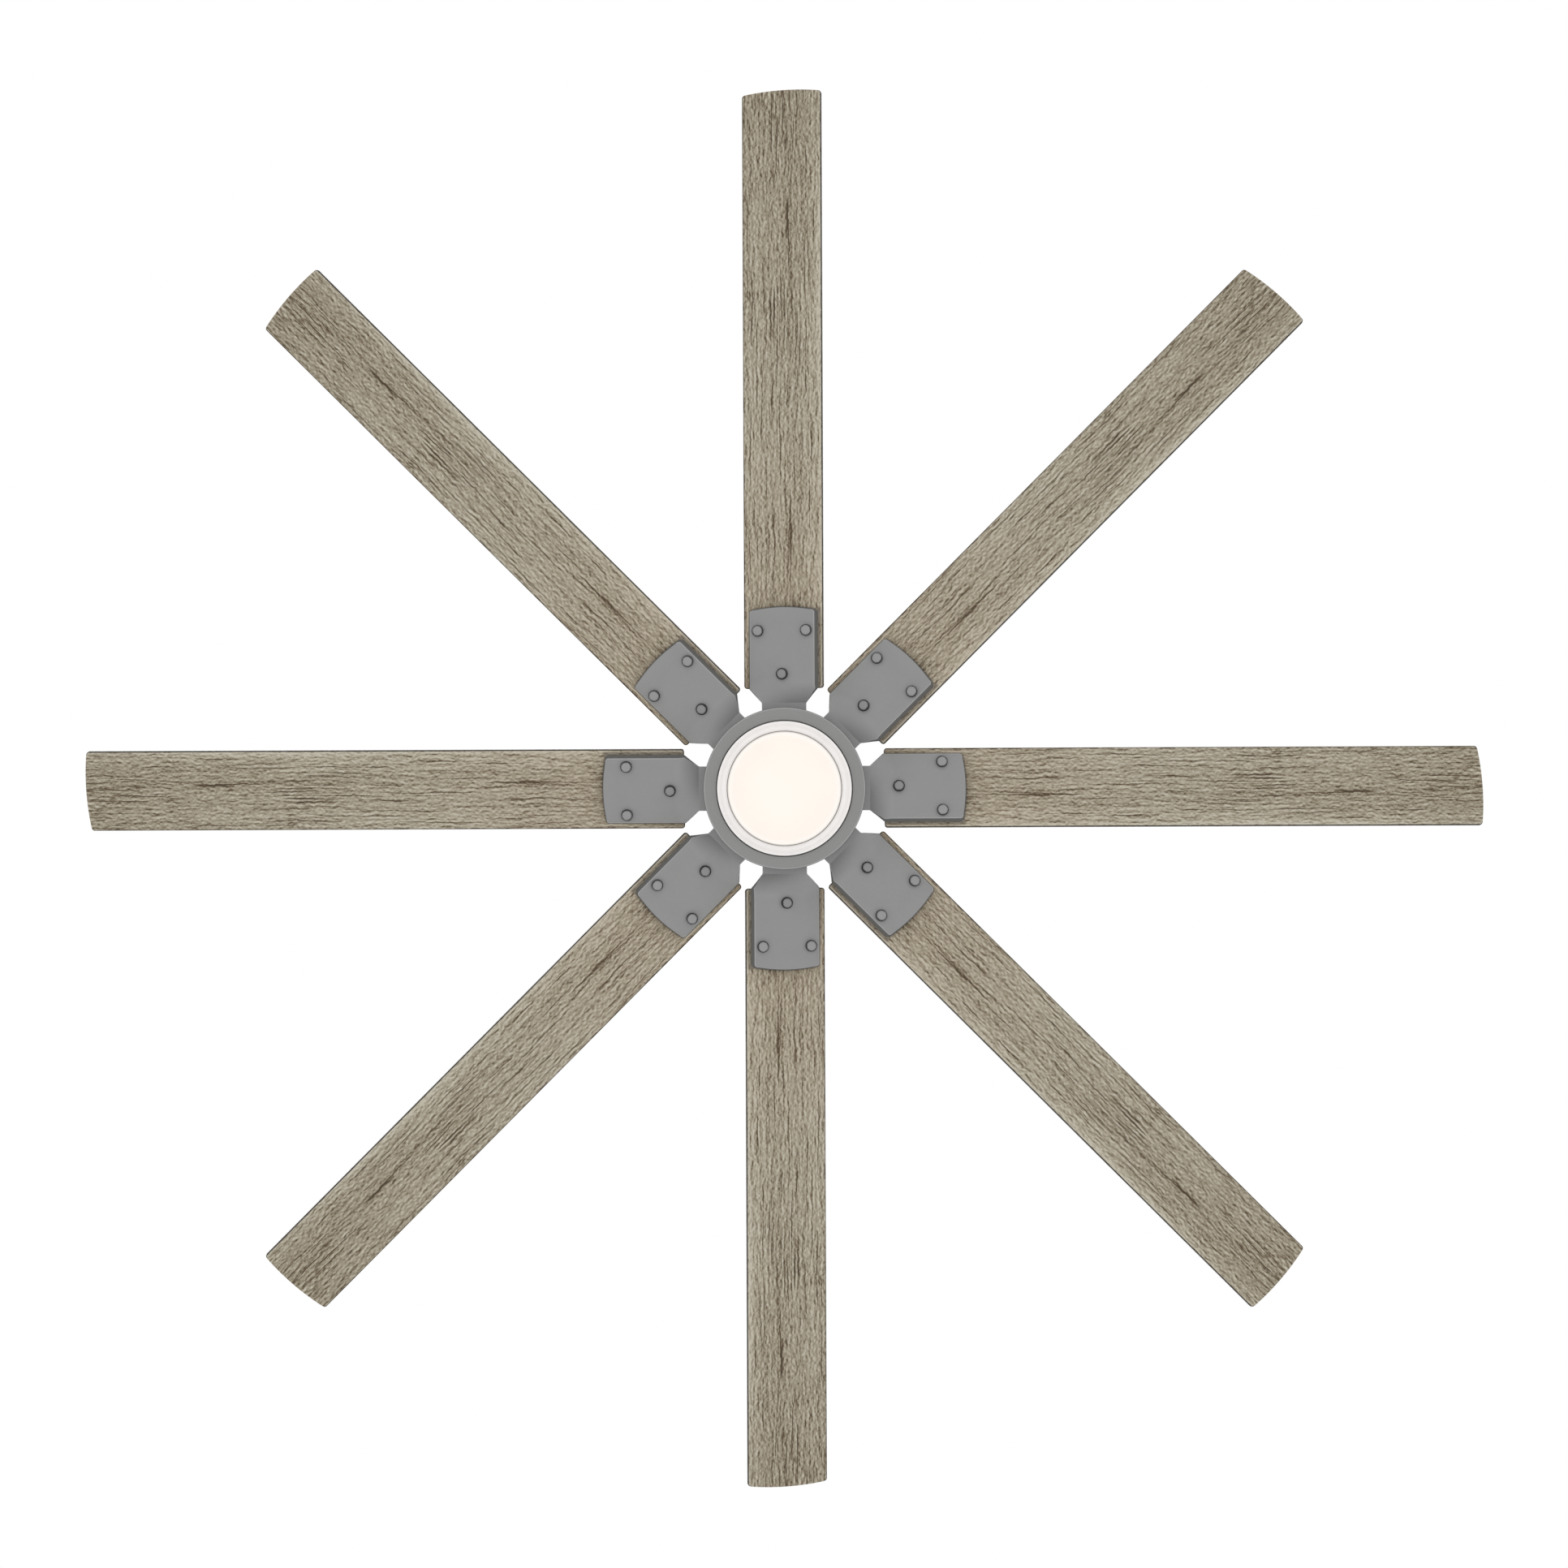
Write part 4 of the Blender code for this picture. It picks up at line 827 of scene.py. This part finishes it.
def blade_mesh(face_finish, sawn_edge_and_shade_finish):
    """Board with softly rounded arrises, a printed face and a darker sawn edge."""
    half = BLADE_WIDTH / 2
    corners = [(BLADE_ROOT, half, BLADE_CORNER), (BLADE_ROOT, -half, BLADE_CORNER)]
    corners += bowed_end(TIP_RADIUS, BLADE_TIP_CURVE, half, BLADE_TIP_CORNER_SHARE * BLADE_CORNER,
                         BLADE_CORNER, BLADE_TIP_STEPS)
    shape = slab(rounded(corners), BLADE_THICKNESS / 2, -BLADE_THICKNESS / 2, BLADE_EDGE)
    for face in shape.faces:
        face.material_index = 0 if abs(face.normal.z) > FLAT_NORMAL else 1
    board = finished("board_form", shape)
    board.data.materials.append(face_finish)
    board.data.materials.append(sawn_edge_and_shade_finish)
    return board


def share_between(value, low, high):
    return min(1, max(0, (value - low) / (high - low)))


def eased(value, low, high, ease):
    """Rise from 0 at low to 1 at high, straight in its middle and eased over a share at each end."""
    share = share_between(value, low, high)
    scale = 1 / (1 - ease)
    if share < ease:
        return scale * share ** 2 / (2 * ease)
    if share > 1 - ease:
        return 1 - scale * (1 - share) ** 2 / (2 * ease)
    return scale * (share - ease / 2)


def falling(value, low, high):
    """Rise from 0 at low to 1 at high, steepest at low and level at high."""
    return 1 - (1 - share_between(value, low, high)) ** 2


def iron_outline():
    """Flat outline of an iron: neck, flare and pad with a bowed end."""
    half = IRON_PAD_HALF
    corners = [(IRON_ROOT, IRON_NECK_HALF, 0), (IRON_ROOT, -IRON_NECK_HALF, 0),
               (IRON_CREASE, -IRON_NECK_HALF, IRON_CREASE_CORNER),
               (IRON_PAD_START, -half, IRON_FLARE_CORNER)]
    corners += bowed_end(IRON_PAD_END, IRON_END_CURVE, half, IRON_CORNER, IRON_CORNER, IRON_END_STEPS)
    corners += [(IRON_PAD_START, half, IRON_FLARE_CORNER),
                (IRON_CREASE, IRON_NECK_HALF, IRON_CREASE_CORNER)]
    return rounded(corners, IRON_CORNER_STEPS)


def iron_warp(point):
    """Carry a point of the flat iron, whose top lies at 0, to the real one."""
    depth = -point.z / IRON_PAD_THICKNESS
    rise = falling(point.x, IRON_CREASE, IRON_PAD_START)
    top = Matrix.Rotation(-BLADE_PITCH * rise, 4, "X") @ Vector(
        (point.x, point.y, IRON_NECK_TOP + (IRON_PAD_TOP - IRON_NECK_TOP) * rise))
    rise = falling(point.x, IRON_CREASE, IRON_RAMP_END)
    low = IRON_NECK_TOP - IRON_NECK_THICKNESS
    low += (IRON_PAD_TOP - IRON_PAD_THICKNESS - low) * rise
    half = IRON_NECK_HALF + (IRON_PAD_HALF - IRON_NECK_HALF) * rise
    end = eased(point.x, IRON_PAD_END - IRON_END_DRAFT_LENGTH, IRON_PAD_END, IRON_END_EASE_SHARE)
    bottom = Matrix.Rotation(-BLADE_PITCH * rise, 4, "X") @ Vector(
        (point.x - IRON_END_DRAFT * end, point.y * (1 - IRON_DRAFT * rise / half), low))
    return Matrix.Translation((0, 0, PITCH_AXIS_Z)) @ top.lerp(bottom, depth)


def iron_mesh(finish, highlight_finish, sawn_edge_and_shade_finish):
    """Casting with rounded arrises, whose flare twists from the level neck to the pitched pad. Its downward
    arrises carry painted highlight and its side walls painted shade.
    """
    shape = slab(iron_outline(), 0, -IRON_PAD_THICKNESS, IRON_EDGE,
                 lambda rim: max(vert.co.x for vert in rim.verts) > IRON_ROOT + HAIR)
    # Side walls get painted shade, downward arrises painted highlight
    for face in shape.faces:
        if abs(face.normal.z) < IRON_SIDE_NORMAL:
            face.material_index = 2
        elif -FLAT_NORMAL < face.normal.z < 0:
            face.material_index = 1
    cuts = [IRON_CREASE - CREASE_LEAD, IRON_CREASE]
    cuts += [IRON_CREASE + CREASE_TAIL + step * RAMP_CUT_STEP for step in range(RAMP_CUTS)]
    cuts += [IRON_PAD_END - IRON_END_DRAFT_LENGTH * (1 - step / END_CUTS) for step in range(END_CUTS)]
    part_faces(shape, Vector((1, 0, 0)), cuts)
    part_faces(shape, Vector((0, 1, 0)), [step * LENGTHWAYS_CUT_STEP
                                          for step in range(-LENGTHWAYS_CUTS, LENGTHWAYS_CUTS + 1)])
    for vert in shape.verts:
        vert.co = iron_warp(vert.co)
    bottom = PITCH_AXIS_Z + IRON_NECK_TOP - IRON_NECK_THICKNESS
    for place in MOTOR_SCREW_PLACES:
        stud(shape, (MOTOR_SCREW_CROWN_SHARE * MOTOR_SCREW_RADIUS, MOTOR_SCREW_RADIUS),
             (bottom - MOTOR_SCREW_HEIGHT, bottom), place, STUD_STEPS)
    iron = finished("iron_form", shape)
    for look in (finish, highlight_finish, sawn_edge_and_shade_finish):
        iron.data.materials.append(look)
    return iron


def screw_mesh(finish):
    """Screw with a domed head on an upright side, in the blade's own frame."""
    seat = IRON_PAD_TOP - IRON_PAD_THICKNESS - FIT
    crown = seat - SCREW_HEAD_SIDE
    rise = SCREW_HEAD_HEIGHT - SCREW_HEAD_SIDE
    profile = [(0, SCREW_TIP), (SCREW_SHANK_RADIUS, SCREW_TIP), (SCREW_SHANK_RADIUS, seat),
               (SCREW_HEAD_RADIUS, seat)]
    for angle in quarter(SCREW_DOME_STEPS):
        profile.append((SCREW_HEAD_RADIUS * math.cos(angle) ** SCREW_DOME_POWER,
                        crown - rise * math.sin(angle) ** SCREW_DOME_POWER))
    profile.append((0, seat - SCREW_HEAD_HEIGHT))
    screw = turned("screw_form", profile, SMALL_STEPS)
    screw.data.materials.append(finish)
    return screw


def tie(piece, body, node):
    """Let a piece ride a body in place of a CAD node."""
    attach(piece, body)
    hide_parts(node)


def place_copy(name, master, place, node):
    """Link a copy of a master that shares its mesh, in place of a CAD node of the rotor."""
    piece = bpy.data.objects.new(name, master.data)
    bpy.context.scene.collection.objects.link(piece)
    piece.matrix_world = place
    tie(piece, "rotor", node)


def rotor_pieces(finishes):
    """Boards, each with its iron and the three screws that hold it."""
    blade = blade_mesh(finishes["wood"], finishes["wood_side"])
    iron = iron_mesh(finishes["casting"], finishes["casting_highlight"], finishes["casting_shade"])
    # The inner screws, near the pan, take the copy with deeper painted shade
    screws = {word: screw_mesh(finishes["shaded_inner_screw" if word == "inner" else "screw"])
              for word in SCREW_PLACES}
    for number, turn in enumerate(even_turns(), start=1):
        pitched = pitched_frame(turn)
        place_copy(f"board_{number}", blade, pitched, f"blade_{number}")
        place_copy(f"arm_{number}", iron, Matrix.Rotation(turn, 4, "Z"), f"blade_iron_{number}")
        for word, (x, y) in SCREW_PLACES.items():
            place_copy(f"dome_{number}_{word}", screws[word], pitched @ Matrix.Translation((x, y, 0)),
                       f"blade_{number}_screw_{word}")
    for master in (blade, iron, *screws.values()):
        bpy.data.objects.remove(master)


# Pieces that hang still

def stand_in(piece, body, node, finish):
    """Dress a piece and tie it to the frame."""
    piece.data.materials.append(finish)
    tie(piece, body, node)


def canopy_piece(finish):
    low = heights("canopy")[0]
    line = rounded([(CANOPY_RADIUS, 0, 0), (CANOPY_RADIUS, low, CANOPY_CORNER),
                    (CANOPY_HOLE_RADIUS, low, 0)], SHELL_ARC_STEPS)
    canopy = turned("canopy_shell", shell(line, CANOPY_WALL), WIDE_STEPS)
    stand_in(canopy, "ceiling_mount", "canopy", finish)


def rod_piece(finish):
    low, high = heights("downrod")
    bore = ROD_RADIUS - ROD_WALL
    rod = turned("rod_tube", [(ROD_RADIUS, high), (ROD_RADIUS, low), (bore, low), (bore, high)], ROUND_STEPS)
    stand_in(rod, "drop_assembly", "downrod", finish)


def cover_piece(finish):
    low, high = heights("yoke_cover")
    line = rounded([(ROD_RADIUS + FIT, high, 0), (COVER_NECK_RADIUS, high, COVER_NECK_CORNER),
                    (COVER_WAIST_RADIUS, low + COVER_WAIST_RISE, COVER_WAIST_CORNER),
                    (COVER_RADIUS, low + COVER_RIM_RISE, COVER_RIM_CORNER), (COVER_RADIUS, low, 0)])
    cover = turned("cover_bell", shell(line, COVER_WALL), ROUND_STEPS)
    stand_in(cover, "drop_assembly", "yoke_cover", finish)


def housing_piece(finish):
    low, high = heights("motor_housing")
    line = rounded([(HOUSING_HOLE_RADIUS, high, 0), (HOUSING_RADIUS, high, HOUSING_CORNER),
                    (HOUSING_RADIUS, low, 0)], SHELL_ARC_STEPS)
    housing = turned("housing_shell", shell(line, HOUSING_WALL), WIDE_STEPS)
    stand_in(housing, "drop_assembly", "motor_housing", finish)


def pan_piece(finish, highlight_finish, sawn_edge_and_shade_finish):
    """Pan with a rabbet for the trim ring. Its rounded lower edge has painted highlight inside and painted
    shade outside.
    """
    low, high = heights("light_pan")
    ledge = low + PAN_RABBET_DEPTH
    line = rounded([(PAN_HOLE_RADIUS, high, 0), (PAN_RADIUS, high, PAN_TOP_CORNER),
                    (PAN_RADIUS, low, PAN_BOTTOM_CORNER), (PAN_RABBET_RADIUS, low, PAN_RABBET_CORNER),
                    (PAN_RABBET_RADIUS, ledge, 0), (PAN_RABBET_RADIUS - PAN_LEDGE, ledge, 0)])
    pan = turned("pan_shell", shell(line, PAN_WALL), WIDE_STEPS)
    stand_in(pan, "drop_assembly", "light_pan", finish)
    pan.data.materials.append(highlight_finish)
    pan.data.materials.append(sawn_edge_and_shade_finish)
    # The lower edge's inner faces get painted highlight, its outer faces painted shade
    for face in pan.data.polygons:
        outer = face.center.to_2d().length > (PAN_RABBET_RADIUS + PAN_RADIUS) / 2
        if outer and -FLAT_NORMAL < face.normal.z < -PAN_WALL_NORMAL:
            face.material_index = 1 if face.normal.z < -PAN_SIDE_NORMAL else 2


def trim_piece(finish):
    """Ring with a flat band, a groove, a swell that rounds into its hole, and a ledge for the lens."""
    low, top = heights("trim_ring")
    step = top - LENS_FLANGE - FIT
    line = rounded([(TRIM_RADIUS, top, 0), (TRIM_RADIUS, low, TRIM_BEVEL),
                    (TRIM_BAND_RADIUS, low, TRIM_BAND_CORNER),
                    (TRIM_GROOVE_RADIUS, low + TRIM_GROOVE, TRIM_GROOVE_CORNER),
                    (TRIM_SWELL_RADIUS, low, TRIM_SWELL_CORNER),
                    (TRIM_LIP_RADIUS, low + TRIM_LIP_RISE, TRIM_LIP_CORNER),
                    (TRIM_HOLE_RADIUS, low + TRIM_HOLE_RISE, TRIM_HOLE_CORNER),
                    (TRIM_HOLE_RADIUS, step, 0), (TRIM_LEDGE_RADIUS, step, 0), (TRIM_LEDGE_RADIUS, top, 0)])
    trim = turned("trim_band", line, WIDE_STEPS)
    stand_in(trim, "drop_assembly", "trim_ring", finish)


def dome(radius, rim):
    """Points from a dome's rim, over its rounded shoulder, to its lowest point."""
    inner = radius - LENS_SHOULDER
    drop = LENS_SHOULDER * LENS_SHOULDER_DROP_SHARE
    crown = LENS_DOME - drop
    curve = (inner ** 2 + crown ** 2) / (2 * crown)
    line = [(inner + LENS_SHOULDER * math.cos(angle), rim - drop * math.sin(angle))
            for angle in quarter(LENS_SHOULDER_STEPS)]
    for step in range(LENS_CROWN_STEPS + 1):
        place = inner * (1 - step / LENS_CROWN_STEPS)
        line.append((place, rim - LENS_DOME + curve - math.sqrt(curve ** 2 - place ** 2)))
    return line


def lens_piece(finish):
    """Hollow dome with a flange that rests on the trim ring's ledge."""
    top = heights("lens")[1]
    flange = top - LENS_FLANGE
    rim = flange - LENS_RIM_DROP
    bore = LENS_RADIUS - LENS_WALL
    lens = turned("lens_dome", dome(bore, rim + LENS_WALL)[::-1] + [
        (bore, top), (LENS_FLANGE_RADIUS, top), (LENS_FLANGE_RADIUS, flange),
        (LENS_RADIUS, flange)] + dome(LENS_RADIUS, rim), WIDE_STEPS)
    stand_in(lens, "drop_assembly", "lens", finish)


def hanging_pieces(finishes):
    """Pieces of revolution about the fan's axis, from the ceiling down."""
    canopy_piece(finishes["paint"])
    rod_piece(finishes["paint"])
    cover_piece(finishes["paint"])
    housing_piece(finishes["paint"])
    pan_piece(finishes["paint"], finishes["casting_highlight"], finishes["casting_shade"])
    trim_piece(finishes["trim"])
    lens_piece(finishes["opal"])


def ball_pieces(finish):
    """Ball with its cross hole, and the seat it swings in."""
    bore = ROD_RADIUS + FIT
    top = math.asin(BALL_TOP / BALL_RADIUS)
    bottom = -math.acos((bore + BALL_FOOT) / BALL_RADIUS)
    profile = arc((0, BALL_Z), BALL_RADIUS, top, bottom, BALL_STEPS)
    profile += [(bore, profile[-1][1]), (bore, BALL_Z + BALL_TOP)]
    ball = turned("ball_moulding", profile, ROUND_STEPS)
    shape = bmesh.new()
    end = BALL_RADIUS + OVERRUN
    stud(shape, (PIN_HOLE_RADIUS, PIN_HOLE_RADIUS), (-end, end), (0, 0), SMALL_STEPS)
    tool = finished("hole", shape)
    tool.matrix_world = Matrix.Translation((0, 0, BALL_PIN_Z)) @ Matrix.Rotation(math.pi / 2, 4, "Y")
    cut_with(ball, tool)
    stand_in(ball, "drop_assembly", "hanger_ball", finish)

    inner = BALL_RADIUS + SWING_FIT
    seat = turned("seat_cup", arc((0, BALL_Z), inner + SEAT_WALL, 0, -SEAT_ANGLE, SEAT_STEPS)
                  + arc((0, BALL_Z), inner, -SEAT_ANGLE, 0, SEAT_STEPS), ROUND_STEPS)
    stand_in(seat, "swing_seat", "ball_seat", finish)


def bracket_piece(finish):
    """Pressed bracket with its sawn corners broken."""
    source = frame["nodes"]["hanger_bracket"]
    shape = bmesh.new()
    shape.from_mesh(source.data)
    bmesh.ops.remove_doubles(shape, verts=shape.verts, dist=HAIR)
    bmesh.ops.dissolve_limit(shape, angle_limit=BRACKET_FLAT_ANGLE, verts=shape.verts, edges=shape.edges)
    bracket = finished("bracket_pressing", shape)
    bevel = bracket.modifiers.new("Edges", "BEVEL")
    bevel.width = BRACKET_EDGE
    bevel.segments = BRACKET_EDGE_STEPS
    bevel.limit_method = "ANGLE"
    bevel.angle_limit = BRACKET_SHARP_ANGLE
    settle(bracket)
    stand_in(bracket, "ceiling_mount", "hanger_bracket", finish)


def canopy_screws(finish):
    """Round heads of the two screws that hold the canopy to the bracket's ears."""
    for word, side in (("right", 1), ("left", -1)):
        profile = [(0, -CANOPY_SCREW_SHANK), (CANOPY_SCREW_SHANK_RADIUS, -CANOPY_SCREW_SHANK),
                   (CANOPY_SCREW_SHANK_RADIUS, 0)]
        profile += [(CANOPY_SCREW_RADIUS * math.cos(angle), CANOPY_SCREW_HEIGHT * math.sin(angle))
                    for angle in quarter(ARC_STEPS)]
        profile.append((0, CANOPY_SCREW_HEIGHT))
        head = turned(f"canopy_screw_{word}", profile, SMALL_STEPS)
        for sides in ((RECESS_LENGTH, RECESS_WIDTH), (RECESS_WIDTH, RECESS_LENGTH)):
            shape = bmesh.new()
            size = Matrix.Diagonal((*sides, 2 * RECESS_DEPTH, 1))
            bmesh.ops.create_cube(shape, size=1,
                                  matrix=Matrix.Translation((0, 0, CANOPY_SCREW_HEIGHT)) @ size)
            cut_with(head, finished("recess", shape))
        head.data.materials.append(finish)
        head.matrix_world = (
            Matrix.Translation((side * (CANOPY_RADIUS - CANOPY_SCREW_SINK), 0, CANOPY_SCREW_Z))
            @ Matrix.Rotation(side * math.pi / 2, 4, "Y"))
        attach(head, "ceiling_mount")


def carried_over(finishes):
    """Give every CAD node that stays its detailed finish."""
    looks = {"yoke": "zinc", "ball_pin": "zinc", "yoke_pin": "zinc", "motor_shaft": "bearing",
             "upper_bearing": "bearing", "lower_bearing": "bearing", "stator": "core",
             "rotor_can": "cast", "rotor_base": "cast", "led_board": "board"}
    for name, look in looks.items():
        for slot in frame["nodes"][name].material_slots:
            slot.material = finishes[look]


# Setting

def camera():
    """Camera far below the fan that looks straight up."""
    data = bpy.data.cameras.new("camera")
    data.sensor_width = CAMERA_SENSOR
    data.lens = CAMERA_LENS
    view = bpy.data.objects.new("camera", data)
    bpy.context.scene.collection.objects.link(view)
    view.matrix_world = (Matrix.Translation(CAMERA_PLACE) @ Matrix.Rotation(math.pi, 4, "X")
                         @ Matrix.Rotation(-CAMERA_ROLL, 4, "Z"))
    bpy.context.scene.camera = view


def lamp(name, size, power, height, turn):
    """Round lamp on the fan's axis that shines down, or up when it is turned by half a turn."""
    data = bpy.data.lights.new(name, "AREA")
    data.shape = "DISK"
    data.size = size
    data.energy = power
    light = bpy.data.objects.new(name, data)
    light.visible_camera = False
    bpy.context.scene.collection.objects.link(light)
    light.matrix_world = Matrix.Translation((0, 0, height)) @ Matrix.Rotation(turn, 4, "X")


def world():
    """Backdrop, plain white to the eye, whose light follows BACKDROP_LIGHT: most from below the horizon."""
    made = bpy.data.worlds.new("white")
    nodes = Nodes(made, "Generated")
    back = nodes.tree.nodes["Background"]
    back.inputs["Color"].default_value = (1, 1, 1, 1)
    up = nodes.axes()[2]
    shade = nodes.node("ShaderNodeFloatCurve", {"Value": nodes.spread(up, -1.0, 1.0)})
    curve = shade.mapping.curves[0]
    shade.mapping.clip_max_y = BACKDROP_MOST
    while len(curve.points) < len(BACKDROP_LIGHT):
        curve.points.new(0.5, 0.5)
    for point, place in zip(curve.points, BACKDROP_LIGHT):
        point.location = place
        point.handle_type = "VECTOR"
    shade.mapping.update()
    level = nodes.node("ShaderNodeMix", {0: nodes.seen(), 2: shade.outputs["Value"], 3: 1.0})
    nodes.tree.links.new(level.outputs[0], back.inputs["Strength"])
    bpy.context.scene.world = made


def floor():
    """Pale round floor far below the fan, whose edge fades into the backdrop."""
    shape = bmesh.new()
    bmesh.ops.create_circle(shape, cap_ends=True, segments=FLOOR_STEPS, radius=FLOOR_RADIUS)
    ground = finished("floor", shape)
    ground.location = (0, 0, FLOOR_Z)
    finish = Finish("floor_white", grey(0.9), 0.9)
    finish.link(finish.spread(finish.reach(), *FLOOR_FADE, 1.0, 0.0), "Alpha")
    finish.link(finish.times(finish.seen(), FLOOR_GLOW), "Emission Strength")
    finish.shader.inputs["Emission Color"].default_value = (1, 1, 1, 1)
    ground.data.materials.append(finish.material)
    ground.visible_diffuse = False


def main():
    bpy.context.scene.view_settings.view_transform = "Standard"
    finishes = all_finishes()
    rotor_pieces(finishes)
    hanging_pieces(finishes)
    ball_pieces(finishes["plastic"])
    bracket_piece(finishes["zinc"])
    canopy_screws(finishes["zinc"])
    carried_over(finishes)
    camera()
    lamp("key_below", size=2.0, power=12, height=-3.7, turn=math.pi)
    lamp("fill_above", size=5.0, power=130, height=3.0, turn=0)
    world()
    floor()


main()
